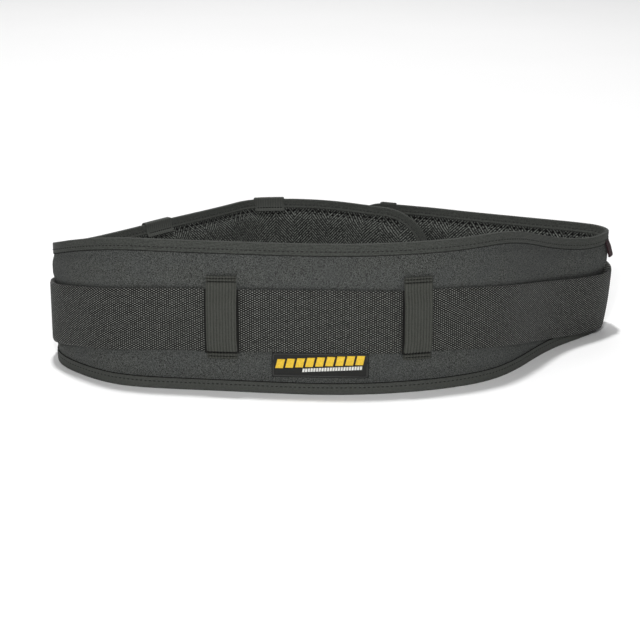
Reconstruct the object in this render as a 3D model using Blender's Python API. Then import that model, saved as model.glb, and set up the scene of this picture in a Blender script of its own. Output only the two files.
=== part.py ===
"""A padded utility belt, fastened into a loop and standing on its lower edge.

Every piece follows one wall: a plan curve through the rows of PLAN, with a height at each place along it.
A place on the wall is an arc length, zero at the middle of the lumbar part and growing to the right as seen
from the front. Across the wall, offsets are measured outwards from the outer face of the binding tape.
"""

import math

import bmesh
import bpy
import numpy as np

# Clearances between pieces
GAP = 0.0003  # between two pieces that touch
LAP_GAP = 0.0025  # between the two layers of pad where its ends overlap
SAME_PLACE = 1e-6  # two arcs nearer than this are one

# The loop, in plan
LOOP_WIDTH = 0.466  # left turn to right turn, over the outer cloth
LOOP_DEPTH = 0.293  # front to back, over the outer cloth of the inner layer
CURVE_STEPS = 4000  # samples along the plan curve
LONGEST_FACET = 0.030
WIDEST_TURN = math.radians(13)  # between neighbouring facets of the wall
SHARP_EDGE = math.radians(35)  # edges that bend more are drawn sharp

# The pad
FRONT_HEIGHT = 0.1207
END_HEIGHT = 0.0880
TAPER_START_LEFT = 0.137  # arc at which the top edge starts to drop
TAPER_END_LEFT = 0.325
TAPER_START_RIGHT = 0.132
TAPER_END_RIGHT = 0.301
EDGE_FOAM = 0.0040  # body thickness inside the binding
PUFF_OUT = 0.0010  # outer cloth, proud of the binding
PUFF_IN = 0.0024  # inner face, proud of its own level at the edge
PUFF_RISE = 0.012  # distance over which the pad swells, in from the binding
PUFF_START = 0.05  # share of PUFF_RISE that stays flat beside the binding
END_PUFF_START = 0.6  # the same at the round ends
END_ZONE = 1.2  # length of a round end, as a share of its radius
RISE_AT = (0.45, 1.0)  # corners of the swelling, as shares of PUFF_RISE
RISE_LIMITS = (0.0, 0.45, 0.65, 0.85)  # highest place of each corner, as shares of half a column
PRESS_RUN = 0.008  # distance over which it swells again beside the band, which presses it down
PRESSED = 0.35  # share of the swelling that is left under the band
LINING = 0.0016  # thickness of the mesh
DRAWN_IN = 0.0060  # most that the lower edge is drawn in under the top edge, at the right turn

# The binding tape
TAPE = 0.0010
TAPE_REACH = 0.0105  # how far it covers the outer face
TAPE_REACH_IN = 0.0075  # how far it covers the inner face
TAPE_BEVEL = 0.0016
SHORTEST_STEP = 0.0006  # between two corners up the pad's outer face
JOIN_LENGTH = 0.014
JOIN_FROM_END = 0.0460  # middle of the join, back from the outer end of the pad

# The webbing band
BAND_WIDTH = 0.050
BAND_THICKNESS = 0.0022
BAND_MARGIN = 0.034  # that it runs on past the last end keeper
BINDING_CLIMB = 0.006  # height over which it climbs onto the lower binding
BAND_LIFT = 0.0343  # lower edge above the floor at the lumbar part
SLACK = 0.0062  # most that it stands off the pad, at the right turn

# Front keepers
KEEPER_WIDTH = 0.0238
KEEPER_SPACING = 0.152
KEEPER_THICKNESS = 0.0014
KEEPER_HEM = 0.0050  # sewn length at each end
HEM_THICKNESS = 0.0026
KEEPER_ABOVE = 0.0108  # reach past the band's upper edge
KEEPER_BELOW = 0.0055
KEEPER_BEND = 0.001  # height over which a keeper turns from its hem

# Keepers folded over the top edge at the inner end of the pad
END_KEEPER_1_FROM_END = 0.291
END_KEEPER_1_WIDTH = 0.038
END_KEEPER_2_FROM_END = 0.1575
END_KEEPER_2_WIDTH = 0.028
END_KEEPER_THICKNESS = 0.0013
END_KEEPER_BELOW = 0.0045

# Label patch
LABEL_WIDTH = 0.075
LABEL_HEIGHT = 0.0198  # its upper edge meets the band's lower edge
LABEL_THICKNESS = 0.0012
LABEL_LEVELS = 6  # corners up each of its sides

# Tab under the binding at the right turn
TAB_ARC = 0.321
TAB_WIDTH = 0.018
TAB_HEIGHT = 0.0140
TAB_THICKNESS = 0.0015
TAB_FLARE = 0.0055  # how far its free edge stands out

# Closure of the band
BUCKLE_LENGTH = 0.070
BUCKLE_HEIGHT = 0.058
BUCKLE_THICKNESS = 0.011
BUCKLE_BEVEL = 0.0012
BUCKLE_FROM_END = 0.028  # clear of the outer end of the pad
BUCKLE_CLEAR = GAP  # to the band, at each end
BRIDGE_SHARES = (0.25, 0.5, 0.75)  # corners of the band where it crosses the outer end of the pad

# Plan of the outer cloth, from the inner end of the pad, round the left turn, the front and the right turn,
# to the outer end. Columns: across, as a share of LOOP_WIDTH from the loop's middle; back, as a share of
# LOOP_DEPTH; layer, 1 where the outer end lies over the inner one.
PLAN = (
    (0.181, 0.831, 0),
    (0.088, 0.890, 0),
    (0.000, 0.967, 0),
    (-0.075, 0.999, 0),
    (-0.134, 1.000, 0),
    (-0.175, 0.983, 0),
    (-0.207, 0.933, 0),
    (-0.267, 0.827, 0),
    (-0.320, 0.738, 0),
    (-0.374, 0.639, 0),
    (-0.436, 0.532, 0),
    (-0.480, 0.444, 0),
    (-0.499, 0.334, 0),
    (-0.487, 0.259, 0),
    (-0.449, 0.176, 0),
    (-0.375, 0.085, 0),
    (-0.304, 0.054, 0),
    (-0.168, 0.024, 0),
    (-0.067, 0.004, 0),
    (0.017, 0.000, 0),
    (0.101, 0.016, 0),
    (0.187, 0.057, 0),
    (0.259, 0.123, 0),
    (0.317, 0.234, 0),
    (0.404, 0.428, 0),
    (0.451, 0.493, 0),
    (0.485, 0.550, 0),
    (0.498, 0.604, 0),
    (0.488, 0.650, 0),
    (0.454, 0.690, 0),
    (0.385, 0.739, 0),
    (0.311, 0.788, 0),
    (0.238, 0.840, 0),
    (0.181, 0.831, 1),
    (0.088, 0.890, 1),
    (0.000, 0.967, 1),
)
FRONT_ACROSS = -0.033  # middle of the lumbar part, as a share of LOOP_WIDTH

# Lower edge of the band. Columns: arc, as a share of LOOP_WIDTH; height, as a share of BAND_LIFT.
BAND_HEIGHTS = (
    (-0.744, 0.27),
    (-0.211, 0.97),
    (0.000, 1.02),
    (0.159, 0.965),
    (0.711, 0.09),
    (1.078, 0.24),
)

# How far the band stands off its seat. Columns: arc, as a share of LOOP_WIDTH; distance, as a share of
# SLACK.
BAND_SLACK = (
    (-0.700, 0.0),
    (-0.600, 0.23),
    (-0.520, 0.23),
    (-0.420, 0.0),
    (0.582, 0.0),
    (0.672, 0.32),
    (0.744, 1.0),
    (0.808, 0.81),
    (0.927, 0.0),
)

# How far the lower edge of the pad is drawn in under its top edge. Columns: arc, as a share of LOOP_WIDTH;
# distance, as a share of DRAWN_IN.
LEAN = (
    (0.506, 0.0),
    (0.700, 0.97),
    (0.744, 1.0),
    (0.970, 0.0),
)

# Colour and roughness of each surface
SURFACES = {
    "outer_cloth": ((0.030, 0.034, 0.038), 0.85),
    "air_mesh": ((0.012, 0.012, 0.013), 0.75),
    "binding_tape": ((0.040, 0.040, 0.036), 0.70),
    "band_webbing": ((0.034, 0.034, 0.031), 0.65),
    "keeper_webbing": ((0.040, 0.037, 0.034), 0.65),
    "label_rubber": ((0.015, 0.015, 0.016), 0.45),
    "tab_fabric": ((0.030, 0.022, 0.024), 0.70),
    "buckle_plastic": ((0.020, 0.020, 0.021), 0.40),
}

EDGE_STACK = 2 * TAPE + EDGE_FOAM + LINING + 3 * GAP  # over the binding, face to face
BODY_OUTER = -TAPE - GAP  # offset of the body's outer face at the edge
BODY_INNER = BODY_OUTER - EDGE_FOAM
LINING_OUTER = BODY_INNER - GAP
LINING_INNER = LINING_OUTER - LINING
PAD_STACK = PUFF_OUT + EDGE_STACK + PUFF_IN + LAP_GAP
BAND_BED = BODY_OUTER + (PUFF_OUT - BODY_OUTER) * PRESSED
INSET = TAPE + GAP  # from the pad's outline to the body inside its binding
END_RADIUS = END_HEIGHT / 2
END_ANGLES = tuple(math.radians(a) for a in (76, 62, 48, 34, 21, 10))


def clear_scene():
    for obj in list(bpy.data.objects):
        bpy.data.objects.remove(obj, do_unlink=True)
    for mat in list(bpy.data.materials):
        bpy.data.materials.remove(mat)


def surface(name):
    """The material of this name, made the first time it is asked for."""
    if name in bpy.data.materials:
        return bpy.data.materials[name]
    colour, roughness = SURFACES[name]
    mat = bpy.data.materials.new(name)
    mat.use_nodes = True
    shader = mat.node_tree.nodes["Principled BSDF"]
    shader.inputs["Base Color"].default_value = (*colour, 1.0)
    shader.inputs["Roughness"].default_value = roughness
    return mat


def ease(share):
    """A smooth step from 0 to 1, flat at both ends: half a wave of a cosine."""
    return 0.5 - 0.5 * np.cos(math.pi * np.clip(share, 0.0, 1.0))


def eased_rows(rows, place):
    """The second column of rows at an arc, with a smooth step between neighbouring rows."""
    shares, values = np.array(rows).T
    places = shares * LOOP_WIDTH
    if place <= places[0]:
        return values[0]
    if place >= places[-1]:
        return values[-1]
    k = int(np.searchsorted(places, place, side="right")) - 1
    share = (place - places[k]) / (places[k + 1] - places[k])
    return values[k] + (values[k + 1] - values[k]) * float(ease(share))


def natural_spline(points, count):
    """Points at even steps on a natural cubic spline, whose parameter is the length of the chords."""
    knots = np.concatenate([[0.0], np.cumsum(np.linalg.norm(np.diff(points, axis=0), axis=1))])
    step = np.diff(knots)[:, None]
    slope = np.diff(points, axis=0) / step
    size = len(points)
    system = np.eye(size)
    right = np.zeros_like(points)
    for k in range(1, size - 1):
        system[k, k - 1 : k + 2] = step[k - 1, 0], 2 * (step[k - 1, 0] + step[k, 0]), step[k, 0]
        right[k] = 6 * (slope[k] - slope[k - 1])
    bend = np.linalg.solve(system, right)
    t = np.linspace(0.0, knots[-1], count)
    k = np.clip(np.searchsorted(knots, t, side="right") - 1, 0, size - 2)
    after = (t - knots[k])[:, None]
    before = (knots[k + 1] - t)[:, None]
    width = step[k]
    return (
        (bend[k] * before**3 + bend[k + 1] * after**3) / (6 * width)
        + (points[k] / width - bend[k] * width / 6) * before
        + (points[k + 1] / width - bend[k + 1] * width / 6) * after
    )


def outward(points):
    """Unit normals of a plan curve that runs clockwise round the loop as seen from above the front."""
    along = np.gradient(points, axis=0)
    normals = np.column_stack([along[:, 1], -along[:, 0]])
    return normals / np.linalg.norm(normals, axis=1)[:, None]


class Wall:
    """The bent strip that every piece follows, as a fine plan curve and the stations of its facets."""

    def __init__(self):
        rows = np.array(PLAN)
        base = rows[:, :2] * (LOOP_WIDTH, LOOP_DEPTH)
        lifted = base + rows[:, 2:] * PAD_STACK * outward(base)
        self.curve = natural_spline(lifted, CURVE_STEPS)
        steps = np.linalg.norm(np.diff(self.curve, axis=0), axis=1)
        self.arc = np.concatenate([[0.0], np.cumsum(steps)])
        front = self.curve[:, 1] < LOOP_DEPTH / 2
        nearest = np.where(front, abs(self.curve[:, 0] - FRONT_ACROSS * LOOP_WIDTH), np.inf)
        self.arc -= self.arc[int(np.argmin(nearest))]
        self.normals = outward(self.curve)
        self.inner_end, self.outer_end = self.arc[0], self.arc[-1]

    def set_stations(self, needed):
        """Facet edges: every needed place, and enough between them for smooth turns."""
        turn = np.unwrap(np.arctan2(self.normals[:, 1], self.normals[:, 0]))
        cost = np.abs(np.gradient(turn)) / WIDEST_TURN + np.gradient(self.arc) / LONGEST_FACET
        total = np.concatenate([[0.0], np.cumsum(cost[1:])])
        marks = sorted(p for p in needed if self.inner_end <= p <= self.outer_end)
        places = []
        for a, b in zip(marks[:-1], marks[1:]):
            low, high = np.interp([a, b], self.arc, total)
            parts = max(1, math.ceil(high - low))
            inner = np.interp(np.linspace(low, high, parts + 1)[:-1], total, self.arc)
            places.extend([a, *inner[1:]])
        self.places = np.array([*places, marks[-1]])
        self.corners = self.smooth(self.places)
        self.corner_normals = self.smooth_normals(self.places)

    def smooth(self, places):
        return np.column_stack([np.interp(places, self.arc, self.curve[:, k]) for k in (0, 1)])

    def smooth_normals(self, places):
        found = np.column_stack([np.interp(places, self.arc, self.normals[:, k]) for k in (0, 1)])
        return found / np.linalg.norm(found, axis=1)[:, None]

    def between(self, low, high):
        """The stations from low to high, both of them included."""
        past_low = self.places > low + SAME_PLACE
        inside = self.places[past_low & (self.places < high - SAME_PLACE)]
        return [low, *inside, high]

    def point(self, place, offset, height):
        """A point on the faceted wall, at an arc, an outward offset and a height."""
        offset -= DRAWN_IN * eased_rows(LEAN, place) * (1 - height / top_edge(place))
        plan = [
            np.interp(place, self.places, self.corners[:, k])
            + offset * np.interp(place, self.places, self.corner_normals[:, k])
            for k in (0, 1)
        ]
        return (plan[0], plan[1], height)


def top_edge(place):
    """Height of the pad's top edge: the lumbar part, then a smooth drop to the end sections."""
    start, end = (
        (TAPER_START_LEFT, TAPER_END_LEFT) if place < 0 else (TAPER_START_RIGHT, TAPER_END_RIGHT)
    )
    drop = ease((abs(place) - start) / (end - start))
    return FRONT_HEIGHT + (END_HEIGHT - FRONT_HEIGHT) * float(drop)


def band_low(place):
    return BAND_LIFT * eased_rows(BAND_HEIGHTS, place)


def depth_in(wall, place, height):
    """Distance in from the pad's outline, whose ends are half circles."""
    past = max(wall.inner_end + END_RADIUS - place, place - (wall.outer_end - END_RADIUS))
    if past > 0:
        return END_RADIUS - math.hypot(past, height - END_RADIUS)
    return min(height, top_edge(place) - height)


def swell(wall, place, height):
    """0 under the binding and 1 in the middle of the pad."""
    near_end = min(place - wall.inner_end, wall.outer_end - place) < END_RADIUS * END_ZONE
    start = TAPE_REACH + (END_PUFF_START if near_end else PUFF_START) * PUFF_RISE
    return float(ease((depth_in(wall, place, height) - start) / PUFF_RISE))


def band_start(wall):
    """The lowest arc at which the band still lies on the pad's inner layer."""
    return end_keeper_range(wall, END_KEEPER_2_FROM_END, END_KEEPER_2_WIDTH)[0] - BAND_MARGIN


def body_outer(wall, place, height):
    """The outer cloth swells between its binding and the band, which presses it down."""
    low = band_low(place)
    beside = max(low - height, height - low - BAND_WIDTH, 0.0)
    clear = 1.0 if place < band_start(wall) else float(ease(beside / PRESS_RUN))
    share = swell(wall, place, height) * (PRESSED + (1 - PRESSED) * clear)
    return BODY_OUTER + (PUFF_OUT - BODY_OUTER) * share


def outer_column(wall, place):
    """Offset and height up the body's outer face at a place, with corners beside the band."""
    low, high = column_range(wall, place)
    band = band_low(place)
    levels = column_heights(low, high)
    levels += [band - PRESS_RUN, band, band + BAND_WIDTH, band + BAND_WIDTH + PRESS_RUN]
    levels = sorted(min(max(z, low), high) for z in levels)
    apart = min(SHORTEST_STEP, (high - low) / (2 * len(levels)))
    for k in range(1, len(levels)):
        levels[k] = max(levels[k], levels[k - 1] + apart)
    levels[-1] = high
    for k in reversed(range(len(levels) - 1)):
        levels[k] = min(levels[k], levels[k + 1] - apart)
    return [(body_outer(wall, place, z), z) for z in levels]


def cloth(wall, place, height):
    """Offset of the faceted outer cloth at a height."""
    offsets, heights = zip(*outer_column(wall, place))
    return float(np.interp(height, heights, offsets))


def seat(wall, place, height):
    """Offset at which something rests on the outside of the pad, on its cloth or its binding."""
    return max(cloth(wall, place, height), 0.0) + GAP


def loft(name, sections, surface_name, ring=False):
    """One closed body from equal polygons in order, either capped at both ends or closed into a ring."""
    mesh = bpy.data.meshes.new(name)
    size = len(sections[0])
    corners = [tuple(corner) for section in sections for corner in section]
    faces = []
    for a in range(len(sections) if ring else len(sections) - 1):
        b = (a + 1) % len(sections)
        for k in range(size):
            after = (k + 1) % size
            faces.append((a * size + k, a * size + after, b * size + after, b * size + k))
    if not ring:
        faces.append(tuple(range(size))[::-1])
        faces.append(tuple((len(sections) - 1) * size + k for k in range(size)))
    mesh.from_pydata(corners, [], faces)
    work = bmesh.new()
    work.from_mesh(mesh)
    bmesh.ops.triangulate(work, faces=work.faces[:])
    if work.calc_volume(signed=True) < 0:
        bmesh.ops.reverse_faces(work, faces=work.faces[:])
    work.to_mesh(mesh)
    work.free()
    mesh.shade_smooth()
    mesh.set_sharp_from_angle(angle=SHARP_EDGE)
    obj = bpy.data.objects.new(name, mesh)
    bpy.context.scene.collection.objects.link(obj)
    mesh.materials.append(surface(surface_name))
    return obj


def column_range(wall, place):
    """Lowest and highest point of the body's column at a place."""
    past = max(wall.inner_end + END_RADIUS - place, place - (wall.outer_end - END_RADIUS))
    if past > 0:
        half = math.sqrt(max((END_RADIUS - INSET) ** 2 - past**2, 0.0))
        return END_RADIUS - half, END_RADIUS + half
    return INSET, top_edge(place) - INSET


def column_heights(low, high):
    """Heights up a column, close together where the pad swells out of its binding."""
    half = (high - low) / 2
    steps = (0.0, TAPE_REACH, *(TAPE_REACH + share * PUFF_RISE for share in RISE_AT))
    rise = [min(step, half * limit) for step, limit in zip(steps, RISE_LIMITS)]
    return [low + r for r in rise] + [low + half] + [high - r for r in reversed(rise)]


def pad_places(wall):
    """Stations of the body: those of the wall, and the columns of the two round ends."""
    reach = END_RADIUS - INSET
    first, last = wall.inner_end + END_RADIUS, wall.outer_end - END_RADIUS
    steps = [reach * math.cos(angle) for angle in END_ANGLES]
    return [first - s for s in reversed(steps)] + wall.between(first, last) + [last + s for s in steps]


def padded_body(wall):
    sections = []
    for place in pad_places(wall):
        heights = column_heights(*column_range(wall, place))
        outer = [wall.point(place, d, z) for d, z in outer_column(wall, place)]
        inner = [
            wall.point(place, BODY_INNER - PUFF_IN * swell(wall, place, z), z) for z in heights
        ]
        sections.append(outer + inner[::-1])
    return loft("padded_body", sections, "outer_cloth")


def mesh_lining(wall):
    sections = []
    for place in pad_places(wall):
        heights = column_heights(*column_range(wall, place))
        lean = [PUFF_IN * swell(wall, place, z) for z in heights]
        outer = [wall.point(place, LINING_OUTER - d, z) for d, z in zip(lean, heights)]
        inner = [wall.point(place, LINING_INNER - d, z) for d, z in zip(lean, heights)]
        sections.append(outer + inner[::-1])
    return loft("mesh_lining", sections, "air_mesh")


def outline(wall):
    """Rows round the pad's outline: arc, height, and the direction into the pad in those two."""
    first, last = wall.inner_end + END_RADIUS, wall.outer_end - END_RADIUS
    run = wall.between(first, last)
    turns = (*END_ANGLES, 0.0, *(-a for a in reversed(END_ANGLES)))
    rows = [(place, top_edge(place), 0.0, -1.0) for place in run]
    for angle in turns:
        c, s = math.cos(angle), math.sin(angle)
        rows.append((last + END_RADIUS * c, END_RADIUS * (1 + s), -c, -s))
    rows += [(place, 0.0, 0.0, 1.0) for place in reversed(run)]
    for angle in reversed(turns):
        c, s = math.cos(angle), math.sin(angle)
        rows.append((first - END_RADIUS * c, END_RADIUS * (1 + s), c, -s))
    return rows


def tape_section(outset, thickness, reach):
    """A tape folded over the edge, as rows of depth in from the outline and offset, grown by outset.

    Its inner leg is shorter than its outer one.
    """
    high, low = outset, -EDGE_STACK - outset
    reach_in = reach - TAPE_REACH + TAPE_REACH_IN
    bevel = TAPE_BEVEL + outset
    return (
        (reach, high),
        (bevel - outset, high),
        (-outset, high - bevel),
        (-outset, low + bevel),
        (bevel - outset, low),
        (reach_in, low),
        (reach_in, low + thickness),
        (thickness - outset, low + thickness),
        (thickness - outset, high - thickness),
        (reach, high - thickness),
    )


def edge_binding(wall):
    profile = tape_section(0.0, TAPE, TAPE_REACH)
    sections = [
        [wall.point(place + d * ds, offset, height + d * dz) for d, offset in profile]
        for place, height, ds, dz in outline(wall)
    ]
    return loft("edge_binding", sections, "binding_tape", ring=True)


def rim(wall, place):
    """Height of the pad's outline at a place, on its straight edge or a round end."""
    return column_range(wall, place)[1] + INSET


def join_range(wall):
    middle = wall.outer_end - JOIN_FROM_END
    return middle - JOIN_LENGTH / 2, middle + JOIN_LENGTH / 2


def binding_join(wall):
    """A second layer of tape over the top edge, where the ends of the binding meet."""
    profile = tape_section(TAPE + GAP, TAPE, TAPE_REACH)
    sections = [
        [wall.point(place, offset, rim(wall, place) - d) for d, offset in profile]
        for place in wall.between(*join_range(wall))
    ]
    return loft("binding_join", sections, "binding_tape")


def buckle_range(wall):
    high = wall.outer_end - BUCKLE_FROM_END
    return high - BUCKLE_LENGTH, high


def end_keeper_range(wall, from_end, width):
    middle = wall.inner_end + from_end
    return middle - width / 2, middle + width / 2


def band_offset(place):
    """The band's inner face: in its bed in the cloth, or over the binding where it hangs that low."""
    climb = float(ease((TAPE_REACH + BINDING_CLIMB - band_low(place)) / (BINDING_CLIMB - GAP)))
    return GAP + BAND_BED * (1 - climb) + SLACK * eased_rows(BAND_SLACK, place)


def band_section(wall, place, offset):
    """The band's four corners at a place: the inner face upwards, then the outer face downwards."""
    low = band_low(place)
    high = low + BAND_WIDTH
    outer = offset + BAND_THICKNESS
    corners = ((offset, low), (offset, high), (outer, high), (outer, low))
    return np.array([wall.point(place, d, z) for d, z in corners])


def band_sections(wall):
    """The band from the buckle all round and back to the buckle.

    It follows the wall as far as the last end keeper, then crosses the pad's outer end on a smooth curve,
    since the outer layer lies over the inner one there.
    """
    low, high = buckle_range(wall)
    sections = [
        band_section(wall, place, band_offset(place))
        for place in reversed(wall.between(band_start(wall), low))
    ]
    start, before = sections[-1], sections[-2]
    over = [band_section(wall, place, PUFF_OUT + GAP) for place in wall.between(high, wall.outer_end)]
    goal, beyond = over[-1], over[-2]
    reach = np.linalg.norm(goal[0] - start[0])
    leaving = (start - before) / np.linalg.norm(start[0] - before[0]) * reach
    arriving = (beyond - goal) / np.linalg.norm(beyond[0] - goal[0]) * reach
    for t in BRIDGE_SHARES:
        section = (2 * t**3 - 3 * t**2 + 1) * start + (t**3 - 2 * t**2 + t) * leaving
        section += (3 * t**2 - 2 * t**3) * goal + (t**3 - t**2) * arriving
        sections.append(section)
    return sections + over[::-1]


def web_band(wall):
    return loft("web_band", band_sections(wall), "band_webbing")


def thick_strip(inner, outer):
    """A closed polygon from rows of offset and height up the inner side and back down the outer one."""
    return [*inner, *reversed(outer)]


def front_keeper(wall, name, middle):
    """Webbing sewn to the pad above and below the band, and bowed out over it between."""
    sections = []
    for place in wall.between(middle - KEEPER_WIDTH / 2, middle + KEEPER_WIDTH / 2):
        band = band_low(place)
        low, high = band - KEEPER_BELOW, band + BAND_WIDTH + KEEPER_ABOVE
        seats = [seat(wall, place, z) for z in (low, low + KEEPER_HEM)]
        top_seats = [seat(wall, place, z) for z in (high - KEEPER_HEM, high)]
        over = band_offset(place) + BAND_THICKNESS + GAP
        inner = [
            (seats[0], low),
            (seats[1], low + KEEPER_HEM - KEEPER_BEND),
            (over, band - GAP),
            (over, band + BAND_WIDTH + GAP),
            (top_seats[0], high - KEEPER_HEM),
            (top_seats[1], high),
        ]
        outer = [
            (seats[0] + HEM_THICKNESS, low),
            (seats[1] + HEM_THICKNESS, low + KEEPER_HEM - 2 * KEEPER_BEND),
            (over + KEEPER_THICKNESS, band - GAP + KEEPER_BEND),
            (over + KEEPER_THICKNESS, band + BAND_WIDTH + GAP),
            (top_seats[0] + HEM_THICKNESS, high - KEEPER_HEM),
            (top_seats[1] + HEM_THICKNESS, high),
        ]
        sections.append([wall.point(place, d, z) for d, z in thick_strip(inner, outer)])
    return loft(name, sections, "keeper_webbing")


def end_keeper(wall, name, from_end, width):
    """Webbing that starts inside under the binding, folds over the top edge and holds the band outside."""
    sections = []
    t = END_KEEPER_THICKNESS
    for place in wall.between(*end_keeper_range(wall, from_end, width)):
        top, band = top_edge(place), band_low(place)
        inside = -EDGE_STACK - GAP
        over = band_offset(place) + BAND_THICKNESS + GAP
        low = band - END_KEEPER_BELOW
        rest = seat(wall, place, low)
        inner = [
            (inside, top - TAPE_REACH_IN),
            (inside, top + GAP),
            (GAP, top + GAP),
            (GAP, top - TAPE_REACH / 2),
            (over, band + BAND_WIDTH + GAP),
            (over, band - GAP),
            (rest, low + KEEPER_BEND),
            (rest, low),
        ]
        outer = [
            (inside - t, top - TAPE_REACH_IN),
            (inside - t, top + GAP + t / 2),
            (inside - t / 2, top + GAP + t),
            (GAP + t / 2, top + GAP + t),
            (GAP + t, top + GAP + t / 2),
            (GAP + t, top - TAPE_REACH / 2),
            (over + t, band + BAND_WIDTH + GAP),
            (over + t, band - GAP),
            (rest + t, low + KEEPER_BEND),
            (rest + t, low),
        ]
        sections.append([wall.point(place, d, z) for d, z in thick_strip(inner, outer)])
    return loft(name, sections, "keeper_webbing")


def label_patch(wall):
    sections = []
    for place in wall.between(-LABEL_WIDTH / 2, LABEL_WIDTH / 2):
        high = band_low(place) - GAP
        heights = np.linspace(high - LABEL_HEIGHT, high, LABEL_LEVELS)
        inner = [(cloth(wall, place, z) + GAP, z) for z in heights]
        outer = [(d + LABEL_THICKNESS, z) for d, z in inner]
        sections.append([wall.point(place, d, z) for d, z in thick_strip(inner, outer)])
    return loft("label_patch", sections, "label_rubber")


def side_tab(wall):
    """A folded tab sewn at the binding's lower edge, which flares out below it."""
    sections = []
    for place in wall.between(TAB_ARC - TAB_WIDTH / 2, TAB_ARC + TAB_WIDTH / 2):
        high = top_edge(place) - TAPE_REACH / 2
        low = high - TAB_HEIGHT
        inner = [(GAP, high), (GAP, high - TAPE_REACH / 2), (TAB_FLARE, low)]
        outer = [(d + TAB_THICKNESS, z) for d, z in inner]
        sections.append([wall.point(place, d, z) for d, z in thick_strip(inner, outer)])
    return loft("side_tab", sections, "tab_fabric")


def web_buckle(wall):
    """A plain block between the two ends of the band, lying on the outer layer of the pad."""
    low, high = buckle_range(wall)
    sections = band_sections(wall)
    a, b = sections[0][0, :2], sections[-1][0, :2]
    along = (b - a) / np.linalg.norm(b - a)
    away = np.array([along[1], -along[0]])
    faces = [wall.point(place, PUFF_OUT + GAP, 0.0)[:2] for place in wall.between(low, high)]
    rest = max(float(np.dot(np.array(face) - a, away)) for face in faces)
    length = float(np.linalg.norm(b - a)) - 2 * BUCKLE_CLEAR
    middle = (a + b) / 2 + away * (rest + BUCKLE_THICKNESS / 2)
    height = band_low(high) + BAND_WIDTH / 2
    mesh = bpy.data.meshes.new("web_buckle")
    work = bmesh.new()
    bmesh.ops.create_cube(work, size=1.0)
    bmesh.ops.scale(work, vec=(length, BUCKLE_THICKNESS, BUCKLE_HEIGHT), verts=work.verts[:])
    bmesh.ops.bevel(work, geom=work.edges[:], offset=BUCKLE_BEVEL, segments=1, affect="EDGES")
    bmesh.ops.recalc_face_normals(work, faces=work.faces[:])
    work.to_mesh(mesh)
    work.free()
    obj = bpy.data.objects.new("web_buckle", mesh)
    bpy.context.scene.collection.objects.link(obj)
    obj.location = (middle[0], middle[1], height)
    obj.rotation_euler = (0.0, 0.0, math.atan2(along[1], along[0]))
    mesh.materials.append(surface("buckle_plastic"))
    return obj


def centre_on_origin(objects):
    """Moves all pieces alike, so that the origin is under the middle of their box."""
    bpy.context.view_layer.update()
    points = np.array([obj.matrix_world @ v.co for obj in objects for v in obj.data.vertices])
    middle = (points.min(axis=0) + points.max(axis=0)) / 2
    for obj in objects:
        obj.location.x -= middle[0]
        obj.location.y -= middle[1]


def main():
    clear_scene()
    wall = Wall()
    keepers = (
        ("end_keeper_1", END_KEEPER_1_FROM_END, END_KEEPER_1_WIDTH),
        ("end_keeper_2", END_KEEPER_2_FROM_END, END_KEEPER_2_WIDTH),
    )
    sides = (("keeper_left", -KEEPER_SPACING / 2), ("keeper_right", KEEPER_SPACING / 2))
    needed = [wall.inner_end, wall.outer_end, *join_range(wall), *buckle_range(wall)]
    needed += [end + sign * END_RADIUS for end, sign in ((wall.inner_end, 1), (wall.outer_end, -1))]
    needed += [-LABEL_WIDTH / 2, LABEL_WIDTH / 2, TAB_ARC - TAB_WIDTH / 2, TAB_ARC + TAB_WIDTH / 2]
    for _, from_end, width in keepers:
        needed += end_keeper_range(wall, from_end, width)
    for _, middle in sides:
        needed += [middle - KEEPER_WIDTH / 2, middle + KEEPER_WIDTH / 2]
    wall.set_stations(needed)
    pieces = [padded_body(wall), mesh_lining(wall), edge_binding(wall), binding_join(wall)]
    pieces += [web_band(wall), label_patch(wall), side_tab(wall), web_buckle(wall)]
    pieces += [front_keeper(wall, name, middle) for name, middle in sides]
    pieces += [end_keeper(wall, *row) for row in keepers]
    centre_on_origin(pieces)


main()
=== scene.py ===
"""The padded utility belt, dressed: every piece of cloth, webbing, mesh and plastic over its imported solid.

All of the belt follows one wall, as in the part's source: a plan curve with a height at each place along it.
A place is an arc length, zero at the middle of the lumbar part and growing to the right as seen from the front.
Offsets are measured outwards from the outer face of the binding tape. Lengths are in metres.
"""

import math

import bpy
import numpy as np
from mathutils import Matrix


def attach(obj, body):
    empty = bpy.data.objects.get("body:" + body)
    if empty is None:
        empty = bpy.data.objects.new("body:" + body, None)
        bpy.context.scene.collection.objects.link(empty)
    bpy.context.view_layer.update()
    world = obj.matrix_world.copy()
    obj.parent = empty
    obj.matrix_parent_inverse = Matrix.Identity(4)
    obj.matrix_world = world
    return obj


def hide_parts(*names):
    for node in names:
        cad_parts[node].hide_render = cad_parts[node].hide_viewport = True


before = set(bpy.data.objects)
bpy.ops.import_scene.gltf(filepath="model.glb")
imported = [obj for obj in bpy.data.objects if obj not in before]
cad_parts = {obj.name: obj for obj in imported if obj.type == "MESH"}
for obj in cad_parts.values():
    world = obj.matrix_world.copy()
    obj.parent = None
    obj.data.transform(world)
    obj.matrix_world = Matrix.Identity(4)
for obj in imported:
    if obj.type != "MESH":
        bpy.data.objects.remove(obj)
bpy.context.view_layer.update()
TURN = 2 * math.pi

# The loop in plan, as in the part's source
GAP = 0.0003
LAP_GAP = 0.0025
LOOP_WIDTH = 0.466
LOOP_DEPTH = 0.293
CURVE_STEPS = 4000
LAP_ROWS = 3  # rows of the plan that the outer end follows again, one pad further out
ROW_SHIFT = (-0.000951, -0.148246)  # from the plan's own origin to the part's
FRONT_ACROSS = -0.033

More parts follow.
